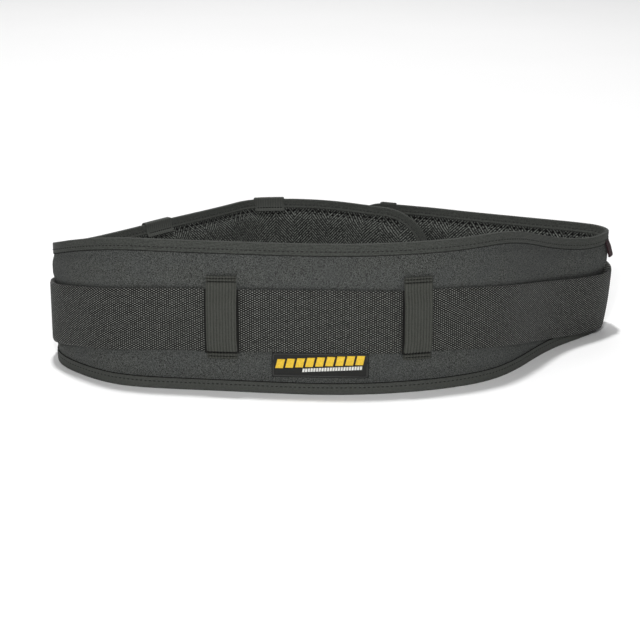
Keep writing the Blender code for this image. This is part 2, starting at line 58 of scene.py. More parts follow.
# The pad
FRONT_HEIGHT = 0.1207
END_HEIGHT = 0.0880
TAPER_LEFT = (0.137, 0.325)
TAPER_RIGHT = (0.132, 0.301)
EDGE_FOAM = 0.0040
PUFF_OUT = 0.0010
PUFF_IN = 0.0024
PUFF_RISE = 0.007
PUFF_START = 0.05
END_PUFF_START = 0.6
END_ZONE = 1.2
END_RUN = 0.01
PRESS_RUN = 0.008
PRESSED = 0.35
LINING = 0.0016
DRAWN_IN = 0.0060
WOBBLE = 0.00012  # soft unevenness of the whole wall, in waves along it and up it
LONG_WAVE, SHORT_WAVE, HIGH_WAVE = 0.173, 0.083, 0.21
PINCH = 0.58  # share of its thickness that the binding squeezes out of the edge
PINCH_RUN = 0.022
PAD_STEP = 0.0036
TUCK = 0.0012  # how far the cloth's edge is turned in under the tape
TUCK_RUN = 0.006
PRESSURE = 4.0
SWELL_FRAMES = 20
MOST_SWELL = 0.0009
HOLD = 0.001  # how far past a piece that lies on it the cloth is held

# The binding tape
TAPE = 0.0010
TAPE_REACH = 0.0090
TAPE_REACH_IN = 0.0075
TAPE_ROLL = 0.0005  # how far its inner free edge stands proud
TAPE_CORNER = 0.0013
RIDGE_START, RIDGE_RUN, RIDGE_MIDDLE, RIDGE_HALF = 0.0016, 0.0013, 0.0007, 0.0008  # in from the inner free edge
STITCH_DEPTH = 0.0060
STITCH_DEPTH_IN = 0.0048
SEAM_RADIUS = 0.0004
BEAD_STATIONS = (-0.5, -0.32, 0.0, 0.32, 0.5)  # a stitch's five rings, in shares of its length
BEAD_GIRTH = (0.0, 0.8, 1.0, 0.8, 0.0)
JOIN_LENGTH = 0.014
JOIN_FROM_END = 0.0460
EDGE_STACK = 2 * TAPE + EDGE_FOAM + LINING + 3 * GAP

# The webbing band
BAND_WIDTH = 0.050
BAND_THICKNESS = 0.0022
BAND_MARGIN = 0.034
BINDING_CLIMB = 0.006
BAND_LIFT = 0.0343
SLACK = 0.0062
WEAVE_ALONG = 0.0035  # one over and one under, along the band
WEAVE_ACROSS = 0.0018519
WEAVE_RELIEF = 0.00020
SELVEDGE = 0.0004  # how much thinner it is at its two edges
TURN_ARC = 0.345  # where its lower edge curls in, from the buckle
TURN_CURL = 0.0065
PICK_PITCH = 0.0011  # of the tape and the ribbed webbing

# The spacer mesh
MESH_PITCH = 0.0059
MESH_ROW = 0.0026
STRAND_PITCH = 0.0028
MESH_UNDER_TAPE = 0.0030
HOLE = (0.00135, 0.00115)  # its half sizes along the wall and up it
HOLE_SHARE = 0.38  # of its full size, over most of the lining
HOLE_GROWTH = 0.47  # more than that, where the top binding pulls the mesh
PULLED_REACH = 0.0155
PULLED_RUN = 0.005
LIP_SHARE, LIP_DEPTH, HOLE_DEPTH, SHEET_DEPTH = 1.18, 0.00035, 0.0013, 0.0012
# shares of painted shade on a hole's rim, lip and foot
RING_SHADE = (0.0, 0.35, 1.0)

# Keepers
KEEPER_WIDTH = 0.0238
KEEPER_ARC = 0.0760
KEEPER_THICKNESS = 0.0014
KEEPER_HEM = 0.0050
HEM_THICKNESS = 0.0026
KEEPER_ABOVE = 0.0108
KEEPER_BELOW = 0.0055
KEEPER_BOW = 0.0026  # how far it stands off the band beyond its clearance
KEEPER_RIB = 0.00238
RIB_RELIEF = 0.00009
HEM_GROOVES = (0.0017, 0.0043)  # depths of its two stitched grooves, in from its edge
GROOVE_HALF = 0.0006
SHADOW_STRIP_THICKNESS = 0.0010
SHADOW_STRIP_BOW = 0.25 * KEEPER_BOW
BOW_SHARES = (0.2, 0.8)  # of the band's width, where a keeper stands off it furthest
SEWN_SHARE = 0.46  # of its width, on each side of the middle
FRONT_KEEPERS = (  # side, middle, width, and how far its near-black shadow strip shows past it on the left and on the right
    ("left", -KEEPER_ARC, KEEPER_WIDTH, 0.0018, 0.0017),
    ("right", 0.0754, 0.0223, 0.0014, -0.0006),
)
END_KEEPERS = (("end_keeper_1", 0.291, 0.031), ("end_keeper_2", 0.1575, 0.028))
END_KEEPER_THICKNESS = 0.0013
END_KEEPER_BELOW = 0.0045
END_KEEPER_REACH_IN = 0.0098
END_HEM = 0.0016
END_HEM_EDGE, END_HEM_STEP, END_HEM_ROW = 0.0017, 0.0019, 0.0027  # up from its inner end
END_SEWN_SHARE = 0.45

# Label, tab and buckle
LABEL_WIDTH = 0.075
LABEL_HEIGHT = 0.0198
LABEL_THICKNESS = 0.0012
LABEL_SKIN = LABEL_THICKNESS * 0.7
BORDER_CORNER, BORDER_INSET, BORDER_BEAD = 0.0012, 0.0013, 0.00055
BAR_COUNT, BAR_PITCH, BAR_FOOT = 9, 0.0077, 0.0074
BAR_SIZE = (0.0060, 0.0072, 0.0018, 0.0005)  # width, height, slant and relief
DASH_COUNT, DASH_PITCH, DASH_FOOT, DASH_END = 22, 0.0021, 0.0045, 0.0325
DASH_SIZE = (0.0016, 0.0028, 0.0004, 0.0004)
STROKE_BEVEL = 0.00025
ROW_SLOPE = 0.058
TAB_ARC = 0.321
TAB_WIDTH = 0.018
TAB_HEIGHT = 0.0140
TAB_THICKNESS = 0.0015
TAB_FLARE = 0.0055
TAB_UNDER = 0.0022  # how far its top lies under the binding
TAB_THICKENING = (0.0007, 0.0009, 0.0013, TAB_THICKNESS)
BUCKLE_LENGTH = 0.070
BUCKLE_FROM_END = 0.028
BUCKLE_TALL = 0.058
BUCKLE_DEEP = 0.011
BUCKLE_THINNING = 0.0009
BAR_U = 0.031
BAR_HALF = (0.00185, 0.0023)  # half its width along u, and half its thickness
BAR_CORNER = 0.003
SLOT_HALF = 0.005
FOLD_PLACES = (0.024, 0.018, 0.012, 0.006)  # where the folded end lies on the band, from the buckle
FOLD_FEET = (0.0002, 0.004)
FOLD_TURNS = (110, 55, 0, -55, -100)  # degrees round the bar
FOLD_SEAMS = (0.019, 0.010)
SOCKET = (-0.0245, 0.0070)
PLUG = (0.0092, 0.0245)
WINDOW = (-0.0160, 0.0010)  # the socket's side openings
WINDOW_DEPTH = 0.0080
WINDOW_RUN = 0.0030
PANEL_RUN = 0.0012
LIP_GROOVE = 0.0006
PAD_RIDGE = 0.0017
ARM_HALF = 0.0029
ARM_CORNER = 0.0009
ARM = (
    (0.0100, 0.0170), (0.0050, 0.0184), (0.0005, 0.0218), (-0.0040, 0.0247), (-0.0090, 0.0248), (-0.0135, 0.0213),
    (-0.0160, 0.0175),
)

# Floor, light and camera
AIR_LIGHT = 0.18
AIM = (0.0, -0.05, 0.06)
SOFTBOXES = (  # name, place, size and power
    ("softbox_top", (-0.22, 0.36, 4.0), 0.30, 108),
    ("softbox_back", (-0.3, 2.2, 2.4), 2.6, 34),
    ("softbox_front", (-0.05, -1.10, 0.58), 0.14, 7.9),
)

PLAN = (  # shares of the loop's width and depth, from the pad's inner end round to where it laps over itself
    (0.181, 0.831), (0.088, 0.890), (0.000, 0.967), (-0.075, 0.999), (-0.134, 1.000), (-0.175, 0.983),
    (-0.207, 0.933), (-0.267, 0.827), (-0.320, 0.738), (-0.374, 0.639), (-0.436, 0.532), (-0.480, 0.444),
    (-0.499, 0.334), (-0.487, 0.259), (-0.449, 0.176), (-0.375, 0.085), (-0.304, 0.054), (-0.168, 0.024),
    (-0.067, 0.004), (0.017, 0.000), (0.101, 0.016), (0.187, 0.057), (0.259, 0.123), (0.317, 0.234), (0.404, 0.428),
    (0.451, 0.493), (0.485, 0.550), (0.498, 0.604), (0.488, 0.650), (0.454, 0.690), (0.385, 0.739), (0.311, 0.788),
    (0.238, 0.840),
)
BAND_HEIGHTS = (
    (-0.744, 0.27), (-0.211, 0.97), (0.0, 1.02), (0.159, 0.965), (0.690, 0.115), (0.760, 0.27), (1.078, 0.24),
)
BAND_SLACK = (
    (-0.700, 0.0), (-0.600, 0.23), (-0.520, 0.23), (-0.420, 0.0),
    (0.300, 0.0), (0.500, 0.13), (0.600, 0.27), (0.672, 0.42), (0.744, 1.0), (0.808, 0.81), (0.927, 0.0),
)
LEAN = ((0.506, 0.0), (0.700, 0.97), (0.744, 1.0), (0.970, 0.0))

BODY_OUTER = -TAPE - GAP
BODY_INNER = BODY_OUTER - EDGE_FOAM
LINING_OUTER = BODY_INNER - GAP
LINING_INNER = LINING_OUTER - LINING
PAD_STACK = PUFF_OUT + EDGE_STACK + PUFF_IN + LAP_GAP
BAND_BED = BODY_OUTER + (PUFF_OUT - BODY_OUTER) * PRESSED
INSET = TAPE + GAP
END_RADIUS = END_HEIGHT / 2


# The wall

def ease(share):
    """A smooth step from 0 to 1, flat at both ends: half a wave of a cosine."""
    return 0.5 - 0.5 * np.cos(math.pi * np.clip(share, 0.0, 1.0))


def spans(knots, t):
    """The number of the span between two knots that each t lies in."""
    return np.clip(np.searchsorted(knots, t, side="right") - 1, 0, len(knots) - 2)


def eased_rows(rows, place):
    """The second column of rows at each arc, with a smooth step between neighbouring rows."""
    shares, values = np.array(rows).T
    places = shares * LOOP_WIDTH
    k = spans(places, place)
    return values[k] + (values[k + 1] - values[k]) * ease((place - places[k]) / (places[k + 1] - places[k]))


def reached(points):
    """How far along a polyline each of its points lies."""
    return np.concatenate([[0.0], np.cumsum(np.linalg.norm(np.diff(points, axis=0), axis=1))])


def at_rows(places, knots, table):
    """Each column of a table, at places between its knots."""
    return np.stack([np.interp(places, knots, column) for column in table.T], -1)


def unit(vectors):
    return vectors / np.linalg.norm(vectors, axis=-1, keepdims=True)


def outward(points):
    """Unit normals of paths in a plane, given row by row: their direction turned a quarter to the right."""
    along = np.gradient(points, axis=0)
    return unit(np.stack([along[..., 1], -along[..., 0]], -1))


def natural_spline(points, count):
    """Even steps on a natural cubic spline whose parameter is the length of the chords: the second
    derivatives solve the usual three-banded system, and each span is the cubic that they give."""
    knots = reached(points)
    step = np.diff(knots)[:, None]
    slope = np.diff(points, axis=0) / step
    inner = np.arange(1, len(points) - 1)
    system = np.eye(len(points))
    system[inner, inner - 1] = step[:-1, 0]
    system[inner, inner] = 2 * (step[:-1, 0] + step[1:, 0])
    system[inner, inner + 1] = step[1:, 0]
    right = np.zeros_like(points)
    right[1:-1] = 6 * np.diff(slope, axis=0)
    bend = np.linalg.solve(system, right)
    t = np.linspace(0.0, knots[-1], count)
    k = spans(knots, t)
    after, before, width = (t - knots[k])[:, None], (knots[k + 1] - t)[:, None], step[k]
    return (
        (bend[k] * before**3 + bend[k + 1] * after**3) / (6 * width)
        + (points[k] / width - bend[k] * width / 6) * before
        + (points[k + 1] / width - bend[k + 1] * width / 6) * after
    )


class Wall:
    """The plan curve: its points, outward normals and arc lengths, and its two ends."""

    base = np.array(PLAN + PLAN[:LAP_ROWS]) * (LOOP_WIDTH, LOOP_DEPTH)
    lapped = np.arange(len(base))[:, None] >= len(PLAN)
    curve = natural_spline(base + lapped * PAD_STACK * outward(base), CURVE_STEPS)
    arc = reached(curve)
    near_half = curve[:, 1] < LOOP_DEPTH / 2
    arc -= arc[np.argmin(np.where(near_half, abs(curve[:, 0] - FRONT_ACROSS * LOOP_WIDTH), np.inf))]
    normals = outward(curve)
    inner_end, outer_end = arc[0], arc[-1]


FIRST, LAST = Wall.inner_end + END_RADIUS, Wall.outer_end - END_RADIUS  # where the round ends begin
BAND_START = Wall.inner_end + END_KEEPERS[1][1] - END_KEEPERS[1][2] / 2 - BAND_MARGIN
BUCKLE_RANGE = (Wall.outer_end - BUCKLE_FROM_END - BUCKLE_LENGTH, Wall.outer_end - BUCKLE_FROM_END)


def past_straight(place):
    """How far an arc lies into either round end. It is negative between them."""
    return np.maximum(FIRST - place, place - LAST)


def top_edge(place):
    """Height of the pad's top edge: the lumbar part, then a smooth drop to the end sections."""
    left = (-place - TAPER_LEFT[0]) / (TAPER_LEFT[1] - TAPER_LEFT[0])
    right = (place - TAPER_RIGHT[0]) / (TAPER_RIGHT[1] - TAPER_RIGHT[0])
    return FRONT_HEIGHT + (END_HEIGHT - FRONT_HEIGHT) * ease(np.where(np.asarray(place) < 0, left, right))


def rim(place):
    """Height of the pad's outline: its straight top edge, or the upper half of a round end."""
    past = np.maximum(past_straight(place), 0.0)
    return np.where(past > 0, END_RADIUS + INSET + np.sqrt((END_RADIUS - INSET) ** 2 - past**2), top_edge(place))


def depth_in(place, height):
    """Distance in from the pad's outline, whose ends are half circles."""
    past = past_straight(place)
    round_end = END_RADIUS - np.hypot(past, height - END_RADIUS)
    return np.where(past > 0, round_end, np.minimum(height, top_edge(place) - height))


def on_wall(place, offset, height):
    """Points of the wall: the plan curve at an arc, plus its normal times the offset, at a height. The binding
    squeezes the edge, the lower edge is drawn in by LEAN, and slow sine waves make the wall a little uneven."""
    place, offset, height = np.broadcast_arrays(*(np.asarray(v, float) for v in (place, offset, height)))
    offset = np.where(offset < 0, offset * (1 - PINCH * ease(1 - depth_in(place, height) / PINCH_RUN)), offset)
    waves = np.sin(TURN * place / LONG_WAVE + 1.3) * np.cos(TURN * height / HIGH_WAVE)
    offset = offset + WOBBLE * (waves + 0.6 * np.sin(TURN * place / SHORT_WAVE))
    offset = offset - DRAWN_IN * eased_rows(LEAN, place) * (1 - height / top_edge(place))
    normal = unit(at_rows(place, Wall.arc, Wall.normals))
    plan = at_rows(place, Wall.arc, Wall.curve) + normal * offset[..., None] + np.array(ROW_SHIFT)
    return np.concatenate([plan, height[..., None]], axis=-1)


def swell(place, height):
    """0 under the binding and 1 in the middle of the pad."""
    near_end = ease((END_RADIUS * (END_ZONE - 1) + past_straight(place)) / END_RUN)
    start = TAPE_REACH + (PUFF_START + (END_PUFF_START - PUFF_START) * near_end) * PUFF_RISE
    return ease((depth_in(place, height) - start) / PUFF_RISE)


def band_low(place):
    return BAND_LIFT * eased_rows(BAND_HEIGHTS, place)


def cloth_face(place, height):
    """Offset of the outer cloth, which swells between its binding and the band that presses it down."""
    low = band_low(place)
    beside = np.maximum(np.maximum(low - height, height - low - BAND_WIDTH), 0.0)
    clear = np.where(np.asarray(place) < BAND_START, 1.0, ease(beside / PRESS_RUN))
    return BODY_OUTER + (PUFF_OUT - BODY_OUTER) * swell(place, height) * (PRESSED + (1 - PRESSED) * clear)


def seat(place, height):
    """Offset at which something rests on the outside of the pad, on its cloth or its binding."""
    return np.maximum(cloth_face(place, height), 0.0) + GAP


def band_offset(place):
    """The band's inner face: in its bed in the cloth, or over the binding where it hangs that low."""
    climb = ease((TAPE_REACH + BINDING_CLIMB - band_low(place)) / (BINDING_CLIMB - GAP))
    return GAP + BAND_BED * (1 - climb) + SLACK * eased_rows(BAND_SLACK, place)


def over_band(place):
    return band_offset(place) + BAND_THICKNESS + GAP


# Meshes from arrays

def paired(a, b):
    return np.stack(np.broadcast_arrays(a, b), -1)


def circle(count):
    """Cosines and sines of even turns."""
    turn = np.arange(count) * TURN / count
    return np.cos(turn), np.sin(turn)


def grid_faces(rows, columns, ring=False, loop=False):
    """Quads between neighbouring rows and columns of a grid, whose columns and rows may close into rings."""
    a, b = np.arange(rows if loop else rows - 1)[:, None], np.arange(columns if ring else columns - 1)[None, :]
    below, after = (a + 1) % rows, (b + 1) % columns
    corners = (a * columns + b, a * columns + after, below * columns + after, below * columns + b)
    return np.stack(np.broadcast_arrays(*corners), -1).reshape(-1, 4)


def repeated(faces, size, count):
    """The same faces for each of many bodies, whose points follow one another, so many points to a body."""
    return (np.arange(count)[:, None, None] * size + faces).reshape(-1, 4)


def loft(sections):
    """One closed body from equal closed sections in order, capped at both ends."""
    count, size = sections.shape[:2]
    caps = np.stack([np.arange(size)[::-1], (count - 1) * size + np.arange(size)])
    return sections, [grid_faces(count, size, ring=True), caps]


def hoop(sections):
    """One closed body from equal closed sections in order, the last joined to the first."""
    return sections, [grid_faces(*sections.shape[:2], ring=True, loop=True)]


def link(name, data):
    obj = bpy.data.objects.new(name, data)
    bpy.context.scene.collection.objects.link(obj)
    return obj


def piece(name, shape, node, finish, uv=None, sharp=50):
    """A mesh object from its points and its arrays of faces with one number of corners each, with a UV pair per
    point. A closed surface whose signed volume is negative has its faces turned round."""
    points, faces = np.reshape(shape[0], (-1, 3)), shape[1]
    volume = 0.0
    for rows in faces:
        a = points[rows[:, 0]]
        for k in range(1, rows.shape[1] - 1):
            volume += np.einsum("ij,ij->", a, np.cross(points[rows[:, k]], points[rows[:, k + 1]]))
    if volume < 0:
        faces = [rows[:, ::-1] for rows in faces]
    corners = np.concatenate([rows.ravel() for rows in faces])
    sizes = np.concatenate([np.full(len(rows), rows.shape[1]) for rows in faces])
    uv = np.zeros((len(points), 2)) if uv is None else np.reshape(uv, (-1, 2))
    mesh = bpy.data.meshes.new(name)
    mesh.vertices.add(len(points))
    mesh.vertices.foreach_set("co", points.astype(np.float32).ravel())
    mesh.loops.add(len(corners))
    mesh.loops.foreach_set("vertex_index", corners.astype(np.int32))
    mesh.polygons.add(len(sizes))
    mesh.polygons.foreach_set("loop_start", (np.cumsum(sizes) - sizes).astype(np.int32))
    mesh.update(calc_edges=True)
    mesh.uv_layers.new(name="UVMap").data.foreach_set("uv", uv.astype(np.float32)[corners].ravel())
    mesh.shade_smooth()
    mesh.set_sharp_from_angle(angle=math.radians(sharp))
    mesh.materials.append(finish)
    obj = link(name, mesh)
    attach(obj, "root")
    if node:
        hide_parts(node)
    return obj


# Finishes

class Finish:
    """A material being made: add() puts in a node and joins or sets its inputs. A tuple is a colour."""

    def __init__(self, name, roughness, sheen=0.0, specular=0.5):
        self.material = bpy.data.materials.new(name)
        self.material.use_nodes = True
        self.tree = self.material.node_tree
        self.shader = self.tree.nodes["Principled BSDF"]
        self.shader.inputs["Roughness"].default_value = roughness
        self.shader.inputs["Specular IOR Level"].default_value = specular
        self.shader.inputs["Sheen Weight"].default_value = sheen

    def put(self, socket, value):
        if isinstance(value, bpy.types.NodeSocket):
            self.tree.links.new(value, socket)
        else:
            socket.default_value = (*value, 1.0) if isinstance(value, tuple) else value

    def add(self, kind, inputs=(), out=0, **settings):
        node = self.tree.nodes.new("ShaderNode" + kind)
        for key, value in settings.items():
            setattr(node, key, value)
        for key, value in dict(inputs).items():
            self.put(node.inputs[key], value)
        return node.outputs[out]

    def place(self, source="Object"):
        return self.add("TexCoord", out=source)

    def uv(self):
        return self.add("SeparateXYZ", {0: self.place("UV")}).node.outputs[:2]

    def math(self, operation, a, b=0.0, c=0.0):
        return self.add("Math", {0: a, 1: b, 2: c}, operation=operation)

    def wave(self, along, period, shift=0.0):
        """A sine wave of a length, from -1 to 1."""
        return self.math("SINE", self.math("MULTIPLY_ADD", along, TURN / period, shift))

    def noise(self, scale, detail=2.0, roughness=0.5):
        where = {"Vector": self.place(), "Scale": scale, "Detail": detail, "Roughness": roughness}
        return self.add("TexNoise", where)

    def spread(self, value, low, high, to_low=0.0, to_high=1.0):
        return self.add("MapRange", {0: value, 1: low, 2: high, 3: to_low, 4: to_high})

    def mix(self, share, a, b):
        """Colour a where share is 0 and b where it is 1."""
        return self.add("Mix", {0: share, 6: a, 7: b}, out=2, data_type="RGBA")

    def done(self, colour, height=None, distance=0.0002, strength=1.0):
        self.put(self.shader.inputs["Base Color"], colour)
        if height is not None:
            bump = self.add("Bump", {"Height": height, "Distance": distance, "Strength": strength})
            self.put(self.shader.inputs["Normal"], bump)
        return self.material


def cloth_finish():
    """Close-knit cloth over foam: a random grain of pale and dark loops under a millimetre apart."""
    f = Finish("outer_cloth_knit", 0.9, sheen=0.03, specular=0.12)
    coarse, fine = f.math("MULTIPLY", f.noise(1500, 1.5, 0.6), 0.7), f.math("MULTIPLY", f.noise(3000, 1.0), 0.3)
    loops = f.math("ADD", coarse, fine)
    colour = f.mix(f.spread(loops, 0.395, 0.605), (0.0098, 0.0104, 0.0097), (0.1020, 0.1065, 0.0995))
    colour = f.mix(f.spread(f.noise(40, 3.0), 0.35, 0.65, 0.0, 0.25), colour, (0.050, 0.054, 0.056))
    return f.done(colour, loops, 0.0005, 0.9)


def webbing_finish(name, dark, pale):
    """Plain-woven webbing: pale knuckles in a checkerboard on dark ground, some brighter than others. The checkerboard
    is the weave, and the pale knuckle tops are a painted highlight: the glints of light on dark webbing.
    """
    f = Finish(name, 0.75, sheen=0.06, specular=0.14)
    along, across = f.uv()
    knuckle = f.math("MULTIPLY", f.wave(along, WEAVE_ALONG, math.pi / 4), f.wave(across, WEAVE_ACROSS, math.pi / 2))
    knuckle = f.math("MULTIPLY_ADD", f.wave(along, WEAVE_ALONG / 2), 0.12, knuckle)
    fibres = f.noise(700)
    share = f.math("MULTIPLY", f.spread(knuckle, 0.1, 0.9), f.spread(fibres, 0.3, 0.7, 0.35, 1.3))
    colour = f.mix(f.math("MINIMUM", share, 1.0), dark, pale)
    return f.done(colour, f.math("ADD", knuckle, fibres), 0.00015, 0.8)


def ribbed_finish(name, dark, pale, pitch, speckle=0.8, painted_low_light=None):
    """Grosgrain or ribbed webbing: fine cords along it, each with a darker furrow beside it, and flecks. The cords and
    flecks are the weave, and the darker furrows are partly painted shade. A paler shade, if given, is painted light
    along the lowest few millimetres, where the tape stands in the floor's shade."""
    f = Finish(name, 0.75, sheen=0.04, specular=0.10)
    along, across = f.uv()
    cord, pick = f.wave(across, pitch, math.pi / 2), f.wave(along, PICK_PITCH)
    fibres = f.noise(1100)
    share = f.math("ADD", f.spread(cord, -1.0, 0.6), f.math("MULTIPLY", f.math("SUBTRACT", fibres, 0.5), speckle))
    colour = f.mix(f.math("MINIMUM", f.math("MAXIMUM", share, 0.0), 1.0), dark, pale)
    # Painted light: paler towards the floor, fading out between 6 and 16 mm up.
    if painted_low_light:
        height = f.add("SeparateXYZ", {0: f.place()}, out=2)
        colour = f.mix(f.spread(height, 0.006, 0.016, 0.4, 0.0), colour, painted_low_light)
    return f.done(colour, f.math("ADD", f.math("MULTIPLY", pick, 0.3), f.math("ADD", cord, fibres)), 0.0001, 0.6)


def lining_finish():
    """Spacer mesh: soft dark yarn with finer strands that slant one way and the other in turn across it, with painted
    shade down in the holes. The mesh's own attribute gives each point's share of that near-black painted shade, which
    grows with its depth in its hole."""
    f = Finish("air_mesh_yarn", 0.85, sheen=0.03, specular=0.2)
    along, up = f.uv()
    depth = f.add("Attribute", out="Fac", attribute_name="hole_shade")
    yarn = f.noise(850, 1.0)
    rising, falling = (f.wave(f.math(way, along, up), STRAND_PITCH) for way in ("ADD", "SUBTRACT"))
    side = f.spread(f.wave(along, 6 * MESH_PITCH), -0.3, 0.3)
    slant = f.math("ADD", f.math("MULTIPLY", rising, side), f.math("MULTIPLY", falling, f.math("SUBTRACT", 1.0, side)))
    share = f.math("MULTIPLY", f.spread(slant, -0.75, 0.95), f.spread(yarn, 0.36, 0.64, 0.15, 1.35))
    strand = f.mix(share, (0.0075, 0.0079, 0.0073), (0.150, 0.159, 0.144))
    return f.done(f.mix(depth, strand, (0.003, 0.003, 0.003)), f.math("ADD", slant, yarn), 0.0003, 0.8)


def skin_finish(name, dark, pale, roughness, grain, relief, detail=3.0, specular=0.5, contrast=(0.0, 1.0), gloss=None):
    """Thread, rubber, ink or moulded plastic: two shades mixed by a fine grain that is also a shallow relief. A
    gloss is the range of the roughness where it follows the grain too."""
    f = Finish(name, roughness, specular=specular)
    skin = f.noise(grain, detail)
    if gloss:
        f.put(f.shader.inputs["Roughness"], f.spread(skin, 0.3, 0.7, *gloss))
    return f.done(f.mix(f.spread(skin, *contrast), dark, pale), skin, relief)


CLOTH = cloth_finish()
# The pale shade is a painted highlight on the knuckles of the band's weave.
BAND_WEB = webbing_finish("band_webbing_weave", (0.006, 0.006, 0.0055), (0.225, 0.232, 0.214))
KEEPER_WEB = ribbed_finish("keeper_webbing_ribs", (0.0335, 0.0347, 0.0300), (0.0550, 0.0570, 0.0500), KEEPER_RIB, 2.4)
# A paler copy of the keeper webbing: painted light for the end keepers, whose folded tops catch the lamps.
END_WEB_LIT = ribbed_finish("end_keeper_ribs_lit", (0.046, 0.048, 0.044), (0.060, 0.063, 0.057), KEEPER_RIB, 2.4)
# The binding's last colour is painted light: a paler shade along its lowest few millimetres.
BINDING = ribbed_finish(
    "binding_tape_weave", (0.0265, 0.0283, 0.0254), (0.0600, 0.0632, 0.0573), PICK_PITCH, 3.4, (0.082, 0.086, 0.078)
)
# Near-black painted shadow for the strips that show beside the front keepers.
SHADOW_STRIP = ribbed_finish("keeper_shadow_strip_ribs", (0.006, 0.006, 0.0055), (0.012, 0.012, 0.011), KEEPER_RIB)
TAB_CLOTH = ribbed_finish("tab_fabric_twill", (0.016, 0.006, 0.008), (0.036, 0.014, 0.018), 0.0009)
MESH_YARN = lining_finish()
THREAD, SEAM_THREAD = (
    skin_finish(name, dark, pale, 0.9, 2500, 0.00008, detail=1.0, specular=0.1) for name, dark, pale in (
        ("binding_thread", (0.014, 0.014, 0.0135), (0.034, 0.034, 0.033)),
        ("seam_thread", (0.003, 0.003, 0.003), (0.011, 0.011, 0.0105)),
    )
)
# The border's paler rubber is a painted highlight on the bead's crest.
RUBBER, BORDER_RUBBER_LIT = (
    skin_finish(name, dark, pale, 0.7, 900, 0.00005, specular=0.2) for name, dark, pale in (
        ("label_rubber_skin", (0.0105, 0.0108, 0.0105), (0.0185, 0.0190, 0.0182)),
        ("label_border_skin_lit", (0.030, 0.031, 0.030), (0.050, 0.051, 0.049)),
    )
)
YELLOW, WHITE = (
    skin_finish(name, dark, pale, 0.45, 700, 0.00004, contrast=(0.3, 0.7)) for name, dark, pale in (
        ("label_yellow", (0.62, 0.38, 0.01), (0.78, 0.52, 0.02)),
        ("label_white", (0.55, 0.55, 0.52), (0.75, 0.75, 0.72)),
    )
)
PLASTIC = skin_finish(
    "buckle_moulding", (0.014, 0.014, 0.015), (0.026, 0.026, 0.027), 0.38, 1300, 0.00003, 2.0, gloss=(0.32, 0.48)
)


# The pad and its lining

def coordinates(mesh):
    flat = np.empty(3 * len(mesh.vertices), np.float32)
    mesh.vertices.foreach_get("co", flat)
    return flat.reshape(-1, 3)


def press_out(obj, free):
    """Lets Blender's cloth swell a copy of the mesh under pressure, held wherever free is false. Each point of
    the piece then moves as the copy's did, by a length that levels off at MOST_SWELL."""
    trial = link("pad_trial", obj.data.copy())
    trial.vertex_groups.new(name="held").add(np.flatnonzero(~free).tolist(), 1.0, "REPLACE")
    cloth = trial.modifiers.new("swelling", "CLOTH")
    cloth.settings.vertex_group_mass = "held"
    cloth.settings.use_pressure = True
    cloth.settings.uniform_pressure_force = PRESSURE
    cloth.settings.effector_weights.gravity = 0.0
    cloth.settings.tension_stiffness = cloth.settings.compression_stiffness = 30
    cloth.collision_settings.use_collision = False
    cloth.point_cache.frame_start, cloth.point_cache.frame_end = 1, SWELL_FRAMES
    for step in range(1, SWELL_FRAMES + 1):
        bpy.context.scene.frame_set(step)
    rest = coordinates(obj.data)
    swollen = trial.evaluated_get(bpy.context.evaluated_depsgraph_get())
    move = coordinates(swollen.to_mesh()) - rest
    swollen.to_mesh_clear()
    length = np.maximum(np.linalg.norm(move, axis=1, keepdims=True), 1e-9)
    rest += move / length * MOST_SWELL * np.tanh(length / MOST_SWELL)
    obj.data.vertices.foreach_set("co", rest.ravel())
    obj.data.update()
    copy = trial.data
    bpy.data.objects.remove(trial)
    bpy.data.meshes.remove(copy)
    bpy.context.scene.frame_set(1)


def pad_cloth():
    """The padded panel. Across a column its outer face is cloth_face at even heights, and its inner face lies
    behind the lining; the columns shrink to half circles at both ends. Pressure then swells its outer cloth
    where neither the binding, the band, the label nor a hem holds it down."""
    reach = END_RADIUS - INSET
    turn = np.radians(np.linspace(4, 90, 26, endpoint=False))
    bend = reach * np.cos(turn)
    place = np.concatenate([FIRST - bend, np.arange(FIRST, LAST, PAD_STEP), LAST + bend[::-1]])[:, None]
    past = np.maximum(past_straight(place), 0.0)
    half = np.sqrt(reach**2 - past**2)
    low = np.where(past > 0, END_RADIUS - half, INSET)
    high = np.where(past > 0, END_RADIUS + half, top_edge(place) - INSET)
    out_z, in_z = low + (high - low) * np.linspace(0, 1, 38), low + (high - low) * np.linspace(1, 0, 8)
    tuck = lambda z: TUCK * (1 - ease(depth_in(place, z) / TUCK_RUN))
    outer = on_wall(place, cloth_face(place, out_z) - tuck(out_z), out_z)
    inner = on_wall(place, BODY_INNER - PUFF_IN * swell(place, in_z) + tuck(in_z), in_z)
    uv = paired(place, np.concatenate([out_z, in_z], axis=1))
    shape = loft(np.concatenate([outer, inner], axis=1))
    obj = piece("pad_cloth", shape, "padded_body", CLOTH, uv)
    band = band_low(place)
    free = depth_in(place, out_z) > TAPE_REACH + HOLD
    free &= (place < BAND_START) | (out_z < band - HOLD) | (out_z > band + BAND_WIDTH + HOLD)
    free &= (np.abs(place) > LABEL_WIDTH / 2 + HOLD) | (out_z > band) | (out_z < band - LABEL_HEIGHT - HOLD)
    hem = np.abs(np.abs(place) - KEEPER_ARC) < KEEPER_WIDTH / 2
    free &= ~(hem & (out_z > band - KEEPER_BELOW) & (out_z < band + BAND_WIDTH + KEEPER_ABOVE))
    press_out(obj, np.concatenate([free, np.zeros(in_z.shape, bool)], axis=1).ravel())
    smooth = obj.modifiers.new("softened", "SUBSURF")
    smooth.levels = smooth.render_levels = 1


def lining_face(place, height):
    return LINING_INNER - PUFF_IN * swell(place, height)


def facing_in(points, faces, place):
    """The faces, all turned round if the first of them, at this arc, faces out of the loop."""
    a, b, c = points[faces[0, :3]]
    faces_out = np.dot(np.cross(b - a, c - a)[:2], at_rows(place, Wall.arc, Wall.normals)) > 0
    return faces[:, ::-1] if faces_out else faces


